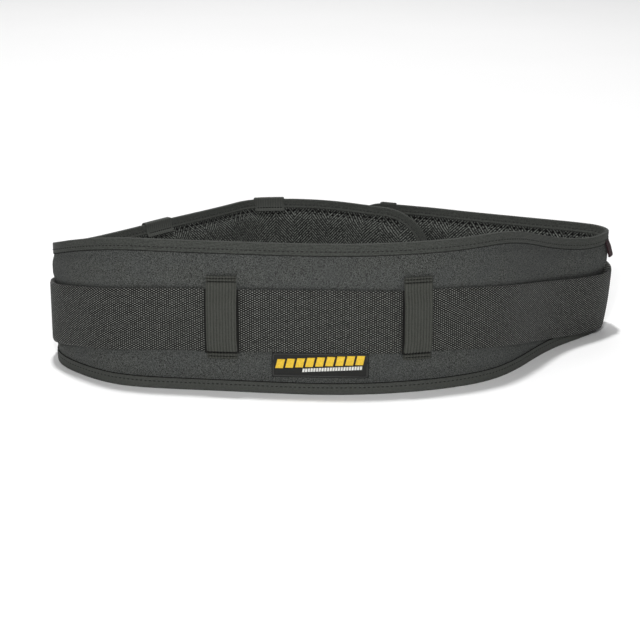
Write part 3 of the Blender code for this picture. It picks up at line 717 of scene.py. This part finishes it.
def lining_mesh(name, low, high):
    """Spacer mesh: diamonds in staggered rows. Each has eight points on its rim, on the crest of the strands, eight
    round its hole a little lower, and eight more at the foot of the hole, over a sheet. Each point carries a share of
    painted shade: none on the rim, more round the hole, most at its foot and all on the sheet, and more in wider
    holes. The holes are pulled wide open under the top binding and smaller below. Its UV pairs are arcs and heights."""
    columns = np.arange(math.ceil(low / MESH_PITCH), math.floor(high / MESH_PITCH) + 1)
    j, i = np.meshgrid(np.arange(math.ceil(FRONT_HEIGHT / MESH_ROW) + 1), columns, indexing="ij")
    place, height = (i + 0.5 * (j % 2)) * MESH_PITCH, j * MESH_ROW
    inside = (depth_in(place, height) > TAPE_REACH_IN - MESH_UNDER_TAPE) & (place >= low) & (place < high)
    place, height = place[inside], height[inside]
    corners = ((1, 0), (0.5, 0.5), (0, 1), (-0.5, 0.5), (-1, 0), (-0.5, -0.5), (0, -1), (0.5, -0.5))
    diamond, hole = np.array(corners) * (MESH_PITCH / 2, MESH_ROW), np.stack(circle(8), -1) * HOLE
    wide = HOLE_SHARE + HOLE_GROWTH * ease((PULLED_REACH - top_edge(place) + height) / PULLED_RUN)
    points, uv = [], []
    for shape, size, down in ((diamond, 1.0, 0.0), (hole * LIP_SHARE, wide, LIP_DEPTH), (hole, wide, HOLE_DEPTH)):
        s, z = (middle[:, None] + shape[:, k] * np.reshape(size, (-1, 1)) for k, middle in enumerate((place, height)))
        points.append(on_wall(s, lining_face(s, z) + down, z))
        uv.append(np.stack([s, z], -1))
    points, uv = (np.stack(rings, axis=1).reshape(len(place) * 24, -1) for rings in (points, uv))
    # Painted shade down each hole, more in wider holes.
    depth = (wide[:, None, None] * np.array(RING_SHADE)[:, None] * np.ones(8)).ravel()
    _, once, index = np.unique(np.round(points * 1e5), axis=0, return_index=True, return_inverse=True)
    faces = index.reshape(-1)[repeated(grid_faces(3, 8, ring=True), 24, len(place))]
    points = points[once]
    faces = facing_in(points, faces, place[0])
    s, share = np.meshgrid(np.arange(low, high, 0.006), np.linspace(0.06, 0.94, 14), indexing="ij")
    half = np.sqrt(np.clip(1 - (np.maximum(past_straight(s), 0) / END_RADIUS) ** 2, 0.02, 1))
    z = END_RADIUS + (INSET + share * (top_edge(s) - 2 * INSET) - END_RADIUS) * half
    sheet = on_wall(s, lining_face(s, z) + SHEET_DEPTH, z).reshape(-1, 3)
    floor = facing_in(sheet, grid_faces(*s.shape), s[0, 0]) + len(points)
    uv = np.concatenate([uv[once], np.stack([s.ravel(), z.ravel()], -1)])
    shape = (np.concatenate([points, sheet]), [faces, floor])
    obj = piece(name, shape, "mesh_lining", MESH_YARN, uv)
    # The sheet under the holes is painted fully shaded.
    depth = np.concatenate([depth[once], np.ones(s.size)]).astype(np.float32)
    obj.data.attributes.new("hole_shade", "FLOAT", "POINT").data.foreach_set("value", depth)


# The binding

def outline(step=0.0035):
    """Rows round the pad's outline: arc, height, and the direction into the pad in those two."""
    run = np.linspace(FIRST, LAST, round((LAST - FIRST) / step))
    turn = np.radians(np.linspace(90, -90, 48)[1:-1])
    c, s = np.cos(turn), np.sin(turn)
    zero = np.zeros_like(run)
    rows = [
        (run, top_edge(run), zero, zero - 1),
        (LAST + END_RADIUS * c, END_RADIUS * (1 + s), -c, -s),
        (run[::-1], zero, zero, zero + 1),
        (FIRST - END_RADIUS * c, END_RADIUS * (1 - s), c, s),
    ]
    return [np.concatenate(column) for column in zip(*rows)]


def tape_path(grow, more):
    """One side of the folded tape, as depth in from the outline and offset: down the outer leg, round two
    corners that are quarter circles, and up the shorter inner leg, whose free edge is a rolled ridge."""
    high, low = grow, -EDGE_STACK - grow
    radius = TAPE_CORNER + grow
    turn = np.radians(np.linspace(90, 180, 6))
    upper = np.stack([TAPE_CORNER + radius * np.cos(turn), high - radius + radius * np.sin(turn)], -1)
    lower = np.stack([TAPE_CORNER - radius * np.sin(turn), low + radius + radius * np.cos(turn)], -1)
    out = np.linspace(TAPE_REACH + more, TAPE_CORNER, 8)[:-1]
    leg = np.linspace(TAPE_CORNER, TAPE_REACH_IN - RIDGE_START, 6)[1:]
    back = np.concatenate([leg, TAPE_REACH_IN + more - RIDGE_RUN * np.linspace(1, 0, 7)])
    ridge = np.sqrt(np.clip(1 - ((back - TAPE_REACH_IN + RIDGE_MIDDLE) / RIDGE_HALF) ** 2, 0, 1))
    top = np.stack([out, np.full_like(out, high)], -1)
    return np.concatenate([top, upper, lower, np.stack([back, low - TAPE_ROLL * ridge], -1)])


def tape_fold(outset=0.0):
    """Closed section of a tape folded over the edge: its outer side, then back along its inner side."""
    return np.concatenate([tape_path(outset, 0.0), tape_path(outset - TAPE, 0.0002)[::-1]])


def sweep_tape(rows, profile):
    """A section of depth and offset carried along rows of the outline."""
    place, height, ds, dz = (column[:, None] for column in rows)
    depth, offset = profile.T
    return on_wall(place + depth * ds, offset, height + depth * dz)


def binding_fold():
    profile = tape_fold()
    sections = sweep_tape(outline(), profile)
    uv = paired(reached(sections[:, 8])[:, None], reached(profile))
    piece("binding_fold", hoop(sections), "edge_binding", BINDING, uv)


def stitch_rows(name, route, side, lift, finish, pitch=0.0036, length=0.0022, width=0.0008):
    """Small stitches along a route of arc, offset and height: at even steps, a bead of three rings of four
    points between two tips. A ring is a circle squeezed to the width along side, a direction in arc and
    height, and to the lift along the offset."""
    route = [np.array(v) for v in np.broadcast_arrays(*route, *side)]
    way = reached(on_wall(*route[:3]))
    stations = np.arange(pitch / 2, way[-1], pitch)[:, None] + length * np.array(BEAD_STATIONS)
    s, d, z, u, w = (np.interp(stations, way, v)[..., None] for v in route)
    c, out = circle(4)
    girth = np.array(BEAD_GIRTH)[None, :, None]
    across = girth * c * width / 2
    points = on_wall(s + u * across, d + girth * out * lift / 2 + lift * 0.2, z + w * across)
    faces = repeated(grid_faces(5, 4, ring=True), 20, len(stations))
    piece(name, (points, [faces]), None, finish, sharp=180)


def binding_stitches():
    place, height, ds, dz = outline(0.0015)
    for name, depth, offset, lift in (
        ("binding_stitches_outside", STITCH_DEPTH, 0.0, 0.0005),
        ("binding_stitches_inside", STITCH_DEPTH_IN, -EDGE_STACK, -0.0005),
    ):
        stitch_rows(name, (place + depth * ds, offset, height + depth * dz), (ds, dz), lift, THREAD)


def binding_seam_shadow():
    """The dark line along the binding's outer edge, partly its needle holes and partly painted shadow under the tape's
    edge: a thin eight-sided cord of near-black thread, half sunk in the cloth."""
    profile = np.stack(circle(8), -1) * SEAM_RADIUS + (TAPE_REACH + 0.0003, BODY_OUTER + 0.0008)
    piece("binding_seam_shadow", hoop(sweep_tape(outline(0.003), profile)), None, SEAM_THREAD)


def binding_overlap():
    """A second layer of tape over the top edge, where the ends of the binding meet."""
    middle = Wall.outer_end - JOIN_FROM_END
    place = np.linspace(middle - JOIN_LENGTH / 2, middle + JOIN_LENGTH / 2, 10)
    zero = np.zeros_like(place)
    profile = tape_fold(TAPE + GAP)
    shape = loft(sweep_tape((place, rim(place), zero, zero - 1), profile))
    uv = paired(place[:, None], reached(profile))
    piece("binding_overlap", shape, "binding_join", BINDING, uv)


# The band

def band_section(place, offset):
    """The band's four corners: the inner face upwards, then the outer face downwards."""
    low = band_low(place)
    high, outer = low + BAND_WIDTH, offset + BAND_THICKNESS
    corners = ((offset, low), (offset, high), (outer, high), (outer, low))
    return np.stack([on_wall(place, d, z) for d, z in corners], axis=1)


def band_rails():
    """The band from the buckle all round and back to the buckle, as steps of a quarter of a weave. It follows the
    wall as far as the last end keeper, then crosses the pad's outer end on a cubic with both ends' directions."""
    low, high = BUCKLE_RANGE
    places = np.linspace(low, BAND_START, 1400)
    run = band_section(places, band_offset(places))
    places = np.linspace(Wall.outer_end, high, 40)
    over = band_section(places, np.full_like(places, PUFF_OUT + GAP))
    start, goal = run[-1], over[0]
    reach = np.linalg.norm(goal[0] - start[0])
    leaving = (start - run[-2]) / np.linalg.norm(start[0] - run[-2][0]) * reach
    arriving = (over[1] - goal) / np.linalg.norm(over[1][0] - goal[0]) * reach
    t = np.linspace(0, 1, 80)[1:-1, None, None]
    bridge = (2 * t**3 - 3 * t**2 + 1) * start + (t**3 - 2 * t**2 + t) * leaving
    bridge += (3 * t**2 - 2 * t**3) * goal + (t**3 - t**2) * arriving
    rails = np.concatenate([run, bridge, over])
    reach = reached(rails.mean(axis=1))
    along = np.linspace(0, reach[-1], round(reach[-1] / (WEAVE_ALONG / 4)) + 1)
    return along, at_rows(along, reach, rails.reshape(-1, 12)).reshape(-1, 4, 3)


ALONG_BAND, RAILS = band_rails()


def woven(name, along, rails, node=None, curl=0.0):
    """A strip of the webbing between rails. Its outer face has four points to each period of the weave along
    it and two across: the face between its two long edges, plus its normal times the relief, which is the
    product of a sine along and a cosine across, so that knuckles and hollows take turns. Its lower edge curls
    in, and up by about a third of that, by curl times the fourth power of the height share left."""
    threads = round(2 * BAND_WIDTH / WEAVE_ACROSS)
    v = np.arange(threads + 1)[None, :]
    share = np.linspace(0, 1, threads + 1)[None, :, None]
    low_in, high_in, high_out, low_out = (rails[:, None, n] for n in range(4))
    normal = unit(low_out - low_in)
    across = v * WEAVE_ACROSS / 2
    knuckle = np.sin(TURN * along[:, None] / WEAVE_ALONG + math.pi / 4) * np.cos(TURN * across / WEAVE_ACROSS)
    edge = ease(np.minimum(v, threads - v) / 2.5)
    relief = (WEAVE_RELIEF * knuckle * edge - SELVEDGE * (1 - edge))[..., None]
    outer = low_out + (high_out - low_out) * share + normal * relief
    back = np.array([0.995, 0.75, 0.5, 0.25, 0.12, 0.005])[None, :, None]
    inner = low_in + (high_in - low_in) * back + normal * np.array([0.0003, 0, 0, 0, 0, 0.0003])[None, :, None]
    left = 1 - np.concatenate([share, back], axis=1)
    fall = (np.array([0.0, 0.0, 0.36]) - normal) * np.reshape(curl, (-1, 1, 1)) * left**4
    uv = paired(along[:, None], np.concatenate([across.ravel(), back.ravel() * BAND_WIDTH]))
    shape = loft(np.concatenate([outer, inner], axis=1) + fall)
    piece(name, shape, node, BAND_WEB, uv, sharp=80)


def waist_web():
    """The webbing band, whose lower edge curls in where it stands off the right-hand turn."""
    curl = TURN_CURL * ease(1.2 - np.abs(BUCKLE_RANGE[0] - ALONG_BAND - TURN_ARC) / 0.035)
    woven("waist_web", ALONG_BAND, RAILS, "web_band", curl)


# The keepers

def resample(rows, count):
    """Even steps along polylines that share one parameter: the length of the middle one."""
    rows = np.stack([paired(*pair) for pair in rows])
    knots = reached(rows[:, rows.shape[1] // 2])
    t = np.linspace(0, knots[-1], count)
    k = spans(knots, t)
    share = ((t - knots[k]) / (knots[k + 1] - knots[k]))[:, None, None]
    return rows[k] * (1 - share) + rows[k + 1] * share


def soften(path, passes):
    """Rounds the bends of a path: each point moves to a weighted mean with its neighbours, ends held."""
    for _ in range(passes):
        path = np.concatenate([path[:1], (path[:-2] + 2 * path[1:-1] + path[2:]) / 4, path[-1:]])
    return path


def strip(name, place, faces_of, along, middle, node, finish):
    """A closed strip between its outside and inside faces, each a path of offset and height at every arc."""
    outside, inside = faces_of
    ring = np.concatenate([outside, inside[::-1]])
    points = on_wall(place[None, :], ring[..., 0], ring[..., 1]).transpose(1, 0, 2)
    rows, size = points.shape[:2]
    k = np.arange(size // 2 - 1)
    side = np.stack([k, k + 1, size - 2 - k, size - 1 - k], -1)
    faces = [grid_faces(rows, size, ring=True), side, (rows - 1) * size + side[:, ::-1]]
    piece(name, (points, faces), node, finish, paired(along, (place - middle)[:, None]))


def strap(name, place, middle, width, inner, outer, node, finish, count=90, passes=5, relief=RIB_RELIEF):
    """A ribbed strap: two paths of offset and height, carried across its width. The outer one rises by the
    ribs, a cosine across the width, and both draw together at the two sides."""
    inside, outside = (soften(resample(path, count), passes) for path in (inner, outer))
    thin = 0.5 * np.clip((np.abs(place - middle) / (width / 2) - 0.94) / 0.06, 0, 1) ** 2
    centre = (inside + outside) / 2
    inside, outside = (face + (centre - face) * thin[None, :, None] for face in (inside, outside))
    normal = outward(outside)
    normal *= np.sign(np.sum(normal * (outside - inside), axis=-1, keepdims=True) + 1e-12)
    rib = relief * np.cos(TURN * (place - middle) / KEEPER_RIB) * (1 - thin * 2)
    outside = outside + normal * rib[None, :, None]
    steps = np.arange(count)
    along = np.concatenate([steps, steps[::-1]]) * reached(outside[:, len(place) // 2])[-1] / (count - 1)
    strip(name, place, (outside, inside), along, middle, node, finish)


def strap_places(middle, width):
    return np.linspace(middle - width / 2, middle + width / 2, round(width / KEEPER_RIB * 5) + 1)


def keeper_shadow_strip(name, middle, width):
    """A second layer under a keeper, painted near-black as the shadow of the gap between keeper and band, which shows
    beside it and stands just off the band.
    """
    place = strap_places(middle, width)
    low, over = band_low(place), over_band(place)
    bow = over + SHADOW_STRIP_BOW
    bows = ((bow, low + BAND_WIDTH * share) for share in BOW_SHARES)
    inner = [(over, low - 0.0005), *bows, (over, low + BAND_WIDTH + 0.0005)]
    strap(name, place, middle, width, inner, [(d + SHADOW_STRIP_THICKNESS, z) for d, z in inner], None, SHADOW_STRIP)


def front_keeper(name, node, middle, width):
    """Webbing sewn to the pad above and below the band, hemmed at both ends and bowed out over the band."""
    place = strap_places(middle, width)
    band, over = band_low(place), over_band(place)
    low, high = band - KEEPER_BELOW, band + BAND_WIDTH + KEEPER_ABOVE
    low_seat, high_seat = seat(place, low + KEEPER_HEM / 2), seat(place, high - KEEPER_HEM / 2)
    bow = over + KEEPER_BOW * (1 - 0.35 * (place - middle) / (width / 2) * np.sign(middle))
    bows = [band + BAND_WIDTH * share for share in BOW_SHARES]
    t, hem, g = KEEPER_THICKNESS, HEM_THICKNESS, GROOVE_HALF

    def hem_grooves(rest, edge, way):
        """The hem's two stitched grooves, in from its edge; the one at the edge is shallower."""
        for depth, floor in list(zip(HEM_GROOVES, (0.8, 0.5)))[::way]:
            z = edge + way * depth
            yield from ((rest + hem, z - g), (rest + floor * t, z), (rest + hem, z + g))

    inner = [
        (low_seat, low), (low_seat, low + KEEPER_HEM - 0.0012), (over, band - GAP), *((bow, z) for z in bows),
        (over, band + BAND_WIDTH + GAP), (high_seat, high - KEEPER_HEM), (high_seat, high),
    ]
    outer = [
        (low_seat + hem, low), *hem_grooves(low_seat, low, 1), (over + t, band + 0.0010),
        *((bow + t, z) for z in bows), (over + t, band + BAND_WIDTH + GAP),
        *hem_grooves(high_seat, high, -1), (high_seat + hem, high),
    ]
    strap(name, place, middle, width, inner, outer, node, KEEPER_WEB, count=190, passes=1)
    run = place[np.abs(place - middle) < SEWN_SHARE * width]
    low, high = band_low(run) - KEEPER_BELOW, band_low(run) + BAND_WIDTH + KEEPER_ABOVE
    for end, edge, way in (("top", high, -1), ("foot", low, 1)):
        for row, depth in zip(("outer", "inner"), HEM_GROOVES):
            z = edge + way * depth
            sew_across(f"{name}_{end}_{row}", (run, seat(run, z) + t, z), 0.0005, 0.0024, 0.0008)


def sew_across(name, route, lift, length, width):
    stitch_rows(name, route, (0.0, 1.0), lift, SEAM_THREAD, 0.0026, length, width)


def end_keeper(name, node, from_end, width):
    """Webbing that starts in a hem inside the pad, folds over the top edge and holds the band outside."""
    middle = Wall.inner_end + from_end
    place = strap_places(middle, width)
    t, top, band, over = END_KEEPER_THICKNESS, top_edge(place), band_low(place), over_band(place)
    inside = -EDGE_STACK - GAP
    hem = inside - t - END_HEM
    foot, low = top - END_KEEPER_REACH_IN, band - END_KEEPER_BELOW
    rest = seat(place, low)
    down = lambda more: [
        (GAP + more, top - TAPE_REACH / 2), (over + more, band + BAND_WIDTH + GAP), (over + more, band - GAP),
        (rest + more, low + 0.001), (rest + more, low),
    ]
    inner = [(inside, foot), (inside, top + GAP), (GAP, top + GAP), *down(0.0)]
    outer = [
        (hem, foot), (hem, foot + END_HEM_EDGE), (inside - t, foot + END_HEM_STEP),
        (inside - t, top + GAP + t / 2), (inside - t / 2, top + GAP + t), (GAP + t / 2, top + GAP + t),
        (GAP + t, top + GAP + t / 2), *down(t),
    ]
    strap(name, place, middle, width, inner, outer, node, END_WEB_LIT, 120, 2, RIB_RELIEF / 2)
    run = place[np.abs(place - middle) < END_SEWN_SHARE * width]
    z = top_edge(run) - END_KEEPER_REACH_IN + END_HEM_ROW
    sew_across(f"{name}_stitches", (run, inside - t, z), -0.0006, 0.0025, 0.0010)


# The label and the tab

def rounded_section(flat=30):
    """A rectangle with round corners, as rows of a corner's centre (in half sizes) and a direction (in radii)."""
    turn = np.radians(np.linspace(0, 90, 6))
    c, s, one = np.cos(turn), np.sin(turn), np.ones(6)
    run = np.linspace(1, -1, flat)[1:-1]
    level = np.ones_like(run)
    rows = [
        (one, one, c, s), (run, level, 0 * run, level), (-one, one, -s, c),
        (-one, -one, -c, -s), (-run, -level, 0 * run, -level), (one, -one, s, -c),
    ]
    return np.concatenate([np.stack(row, -1) for row in rows]).T


def on_label(place, height, rise=0.0):
    """Points over the label's place: on the cloth under it, plus a share of its thickness."""
    return on_wall(place, cloth_face(place, height) + GAP + rise, height)


def label_plate():
    """A rubber patch under the band: a grid over the swelling cloth, with rounded shoulders."""
    s = np.linspace(-LABEL_WIDTH / 2, LABEL_WIDTH / 2, 101)[:, None]
    high = band_low(s) - GAP
    z = high - LABEL_HEIGHT + np.linspace(0, 1, 31)[None, :] * LABEL_HEIGHT
    edge = np.minimum(LABEL_WIDTH / 2 - np.abs(s), np.minimum(z - high + LABEL_HEIGHT, high - z))
    outer = on_label(s, z, LABEL_THICKNESS * (0.5 + 0.2 * ease(edge / 0.0006)))
    shape = loft(np.concatenate([outer, on_label(s, z)[:, ::-1]], axis=1))
    uv = paired(s, np.concatenate([z, z[:, ::-1]], axis=1))
    piece("label_plate", shape, "label_patch", RUBBER, uv)


def label_border():
    """A raised bead round the plate, set in from its edge: a round cord, half sunk, along a rounded rectangle. Its
    paler rubber is a painted highlight for the light that its raised crest catches.
    """
    cx, cw, ax, aw = (column[:, None] for column in rounded_section(60))
    c, out = circle(10)
    across = BORDER_CORNER + BORDER_BEAD * c
    s = cx * (LABEL_WIDTH / 2 - BORDER_INSET - BORDER_CORNER) + ax * across
    z = cw * (LABEL_HEIGHT / 2 - BORDER_INSET - BORDER_CORNER) + aw * across
    z = z + band_low(s) - GAP - LABEL_HEIGHT / 2
    points = on_label(s, z, LABEL_SKIN + 1.3 * BORDER_BEAD * out)
    piece("label_border", hoop(points), None, BORDER_RUBBER_LIT)


def raised_strokes(name, left, foot, size, finish):
    """Low blocks on the label: each a leaning four-sided base on the plate and a smaller top a relief above it."""
    width, height, slant, relief = size
    x, y = np.array([(0, 0), (1, 0), (1, 1), (0, 1)], float).T
    foot = foot + ROW_SLOPE * (left - left[0])
    rings = []
    for inset, rise in ((0.0, -0.0003), (0.0, relief * 0.6), (STROKE_BEVEL, relief)):
        s = left[:, None] + inset + (width - 2 * inset) * x + slant * y
        z = band_low(s) - GAP - LABEL_HEIGHT + foot[:, None] + inset + (height - 2 * inset) * y
        rings.append(on_label(s, z, LABEL_SKIN + rise))
    one = (grid_faces(3, 4, ring=True), np.arange(8, 12), np.arange(4)[::-1])
    faces = [repeated(quads, 12, len(left)) for quads in one]
    piece(name, (np.stack(rings, axis=1), faces), None, finish, sharp=30)


def label_strokes():
    """A row of slanted yellow bars that climbs to the right, and a broken white line under its right end."""
    left = (np.arange(BAR_COUNT) - BAR_COUNT / 2) * BAR_PITCH
    raised_strokes("label_bars", left, BAR_FOOT, BAR_SIZE, YELLOW)
    left = DASH_END - (DASH_COUNT - np.arange(DASH_COUNT)) * DASH_PITCH
    raised_strokes("label_dashes", left, DASH_FOOT, DASH_SIZE, WHITE)


def turn_tab():
    """A folded tab that comes out under the binding's lower edge and flares out, further the lower it is."""
    place = np.linspace(TAB_ARC - TAB_WIDTH / 2, TAB_ARC + TAB_WIDTH / 2, 40)
    high = top_edge(place) - TAPE_REACH + TAB_UNDER
    low = high - TAB_HEIGHT
    inner = [(-0.0006, high), (0.0, high - 0.0025), (TAB_FLARE * 0.35, (high + low) / 2), (TAB_FLARE * 0.72, low)]
    outer = [(d + t, z) for (d, z), t in zip(inner, TAB_THICKENING)]
    both = [soften(resample(path, 30), 4) for path in (outer, inner)]
    strip("turn_tab", place, both, np.linspace(0, 2 * TAB_HEIGHT, 60), 0.0, "side_tab", TAB_CLOTH)


# The buckle. u runs along the belt, v upwards and w away from the pad, all from its middle

def buckle_frame():
    """Its middle and its directions along the belt and away from the pad: it fills the gap between the band's
    two ends and rests on the fullest part of the pad between them."""
    a, b = RAILS[0, 0, :2], RAILS[-1, 0, :2]
    along = unit(b - a)
    away = np.array([along[1], -along[0]])
    bulge = on_wall(np.linspace(*BUCKLE_RANGE, 40), PUFF_OUT + GAP, 0.0)[:, :2]
    middle = (a + b) / 2 + away * (np.max((bulge - a) @ away) + BUCKLE_DEEP / 2)
    height = band_low(BUCKLE_RANGE[1]) + BAND_WIDTH / 2
    return np.array([*middle, height]), np.array([*along, 0.0]), np.array([*away, 0.0])


MIDDLE, ALONG, AWAY = buckle_frame()


def in_buckle(u, v, w):
    u, v, w = np.broadcast_arrays(u, v, w)
    return MIDDLE + u[..., None] * ALONG + v[..., None] * np.array([0.0, 0.0, 1.0]) + w[..., None] * AWAY


def rounded_ends(start, end, radius, inner):
    """Stations along u, close together at both ends, and how far a section shrinks there: a quarter circle."""
    turn = radius * (1 - np.cos(np.radians(np.linspace(0, 90, 7))))
    u = np.concatenate([start + turn, np.linspace(start + radius, end - radius, inner)[1:-1], end - turn[::-1]])
    near = np.clip(np.minimum(u - start, end - u) / radius, 0, 1)
    return u, radius * (1 - np.sqrt(1 - (1 - near) ** 2))


def moulded_block(name, u, half, deep, radius, relief=lambda u, v: 0.0, node=None):
    """A block along u: a rounded section of half width and half depth at each station, with caps, and its two
    faces raised by relief(u, v)."""
    cx, cw, ax, aw = rounded_section()
    u, half, deep = (np.broadcast_to(q, u.shape)[:, None] for q in (u, half, deep))
    v = cx * (half - radius) + ax * radius
    w = cw * (deep - radius) + aw * radius + relief(u, v) * aw
    piece(name, loft(in_buckle(u, v, w)), node, PLASTIC, sharp=40)


def between(value, low, high, run):
    """1 between low and high, 0 outside, with smooth shoulders of one run."""
    return ease((value - low) / run) * ease((high - value) / run)


def buckle_socket():
    """The socket: windows in both sides show the plug's arms, its faces have a sunk panel and two raised lips."""
    u, shrink = rounded_ends(*SOCKET, 0.0022, 150)
    half = BUCKLE_TALL / 2 - WINDOW_DEPTH * between(u, *WINDOW, WINDOW_RUN) - 0.0015 * ease((u - 0.0035) / 0.003)
    deep = BUCKLE_DEEP / 2 - BUCKLE_THINNING * ease((-0.0170 - u) / 0.006)
    relief = lambda u, v: (
        -0.0009 * between(u, -0.0190, -0.0010, PANEL_RUN) * between(v, -0.0145, 0.0145, PANEL_RUN)
        - LIP_GROOVE * between(u, 0.0012, 0.0022, 0.0004) - LIP_GROOVE * between(u, 0.0036, 0.0046, 0.0004)
    )
    moulded_block("buckle_socket", u, half - shrink, deep - shrink, 0.0024, relief, "web_buckle")


def buckle_plug():
    """The plug's base: it narrows a little towards its bar, with a lip at the mouth and a sunk panel."""
    u, shrink = rounded_ends(*PLUG, 0.0018, 90)
    half = BUCKLE_TALL / 2 - 0.0012 * ease((0.0125 - u) / 0.003)
    deep = BUCKLE_DEEP / 2 - 0.0004 - BUCKLE_THINNING * ease((u - 0.0165) / 0.006)
    relief = lambda u, v: -LIP_GROOVE * between(u, 0.0130, 0.0215, 0.0010) * between(v, -0.0180, 0.0180, PANEL_RUN)
    moulded_block("buckle_plug", u, half - shrink, deep - shrink, 0.0022, relief)
    u, shrink = rounded_ends(0.0040, 0.0110, 0.0006, 12)
    moulded_block("buckle_tongue", u, 0.0120 - shrink, 0.0030 - shrink, 0.0009)


def squeeze_arm(name, side):
    """An arm of the plug: a rounded section along a smooth curve out into the window, thicker and ridged where a
    thumb presses it. The ridges are a cosine of the length."""
    line = natural_spline(np.array(ARM), 150)
    pad = between(line[:, :1], -0.0135, -0.0015, 0.003)
    cx, cw, ax, aw = rounded_section(8)
    ridges = 0.0003 * pad * np.cos(TURN * reached(line)[:, None] / PAD_RIDGE) * np.clip(aw, 0, 1)
    n = cw * (0.0013 + 0.0019 * pad - ARM_CORNER) + aw * ARM_CORNER + ridges
    flat = line[:, None] + outward(line)[:, None] * n[..., None]
    points = in_buckle(flat[..., 0], side * flat[..., 1], cx * ARM_HALF + ax * ARM_CORNER)
    piece(name, loft(points), None, PLASTIC, sharp=60)


def end_bar(name, side):
    """A closed loop of bar round the slot for the webbing: an ellipse carried round a rounded rectangle."""
    cx, cw, ax, aw = (column[:, None] for column in rounded_section(12))
    v = cx * (BUCKLE_TALL / 2 - BAR_HALF[0] - BAR_CORNER) + ax * BAR_CORNER
    u = BAR_U - SLOT_HALF + cw * (SLOT_HALF - BAR_CORNER) + aw * BAR_CORNER
    c, s = circle(14)
    points = in_buckle(side * (u + aw * BAR_HALF[0] * c), v + ax * BAR_HALF[0] * c, BAR_HALF[1] * s)
    piece(name, hoop(points), None, PLASTIC, sharp=60)


def web_fold(name, side, start):
    """The band's end, which goes under the buckle's bar, round it and back, and is sewn to the band: a smooth
    curve in plan through points on the band and round the bar."""
    offset = band_offset if side < 0 else lambda place: np.full_like(place, PUFF_OUT + GAP)
    tail, end = (start + side * np.array(places) for places in (FOLD_PLACES, FOLD_FEET))
    back = on_wall(tail, offset(tail) + 1.5 * BAND_THICKNESS + GAP, band_low(tail))
    foot = on_wall(end, offset(end) + BAND_THICKNESS / 2, band_low(end))
    round_u, round_w = (half + BAND_THICKNESS / 2 + 0.0002 for half in BAR_HALF)
    turn = np.radians(FOLD_TURNS)
    loop = in_buckle(side * (BAR_U - round_u * np.cos(turn)), -BAND_WIDTH / 2, round_w * np.sin(turn))
    path = natural_spline(np.concatenate([back, loop, foot]), 400)
    way = reached(path)
    along = np.arange(0, way[-1], WEAVE_ALONG / 4)
    path = at_rows(along, way, path)
    half = np.column_stack([outward(path[:, :2]), np.zeros(len(path))]) * BAND_THICKNESS / 2
    half = half if np.dot(half[0], AWAY) > 0 else -half
    up = np.array([0.0, 0.0, BAND_WIDTH])
    woven(name, along, np.stack([path - half, path - half + up, path + half + up, path + half], axis=1))
    height = np.linspace(0.004, BAND_WIDTH - 0.004, 30) + band_low(start)
    for k, back_from in enumerate(FOLD_SEAMS):
        place = np.full_like(height, start + side * back_from)
        route = (place, offset(place) + 2 * BAND_THICKNESS + GAP, height)
        row = f"{name}_stitches_{k + 1}"
        stitch_rows(row, route, (1.0, 0.0), 0.0006, SEAM_THREAD, 0.0030, width=0.0009)


pad_cloth()
lining_mesh("lining_left", Wall.inner_end, 0.0)
lining_mesh("lining_right", 0.0, Wall.outer_end)
binding_fold()
binding_stitches()
binding_seam_shadow()
binding_overlap()
waist_web()
for hand, middle, width, past_left, past_right in FRONT_KEEPERS:
    keeper_shadow_strip(f"keeper_shadow_strip_{hand}", middle + (past_right - past_left) / 2, width + past_left + past_right)
    front_keeper(f"keeper_strap_{hand}", f"keeper_{hand}", middle, width)
for node_name, from_end, width in END_KEEPERS:
    end_keeper(node_name + "_strap", node_name, from_end, width)
label_plate()
label_border()
label_strokes()
turn_tab()
buckle_socket()
buckle_plug()
squeeze_arm("buckle_arm_lower", -1)
squeeze_arm("buckle_arm_upper", 1)
for side, part, start in zip((-1, 1), ("socket", "plug"), BUCKLE_RANGE):
    end_bar(f"{part}_bar", side)
    web_fold(f"{part}_web_fold", side, start)


# Floor, light and camera

def studio():
    floor_mesh = bpy.data.meshes.new("studio_floor")
    floor_mesh.from_pydata([(-6, -4, 0), (6, -4, 0), (6, 8, 0), (-6, 8, 0)], [], [(0, 1, 2, 3)])
    f = Finish("studio_paper", 0.9)
    floor_mesh.materials.append(f.done(f.mix(f.noise(3), (0.90, 0.90, 0.90), (0.93, 0.93, 0.93))))
    link("studio_floor", floor_mesh)
    scene = bpy.context.scene
    scene.world = bpy.data.worlds.new("studio_air")
    scene.world.use_nodes = True
    air = scene.world.node_tree.nodes["Background"].inputs
    air[0].default_value, air[1].default_value = (1.0, 1.0, 1.0, 1.0), AIR_LIGHT
    for name, place, size, power in SOFTBOXES:
        light = bpy.data.lights.new(name, "AREA")
        light.size, light.energy = size, power
        lamp = link(name, light)
        lamp.location = place
        x, y, z = np.array(AIM) - place
        lamp.rotation_euler = (math.atan2(math.hypot(x, y), -z), 0.0, math.atan2(y, x) - math.pi / 2)
        lamp.visible_camera = False
    camera = bpy.data.cameras.new("photograph")
    camera.sensor_width, camera.lens = 36.0, 101.35
    camera.clip_start, camera.clip_end = 0.05, 50.0
    scene.camera = link("photograph", camera)
    scene.camera.location = (-0.016491, -1.470046, 0.4651)
    scene.camera.rotation_euler = (math.radians(73), 0.0, 0.0)
    scene.view_settings.view_transform = "Standard"


studio()
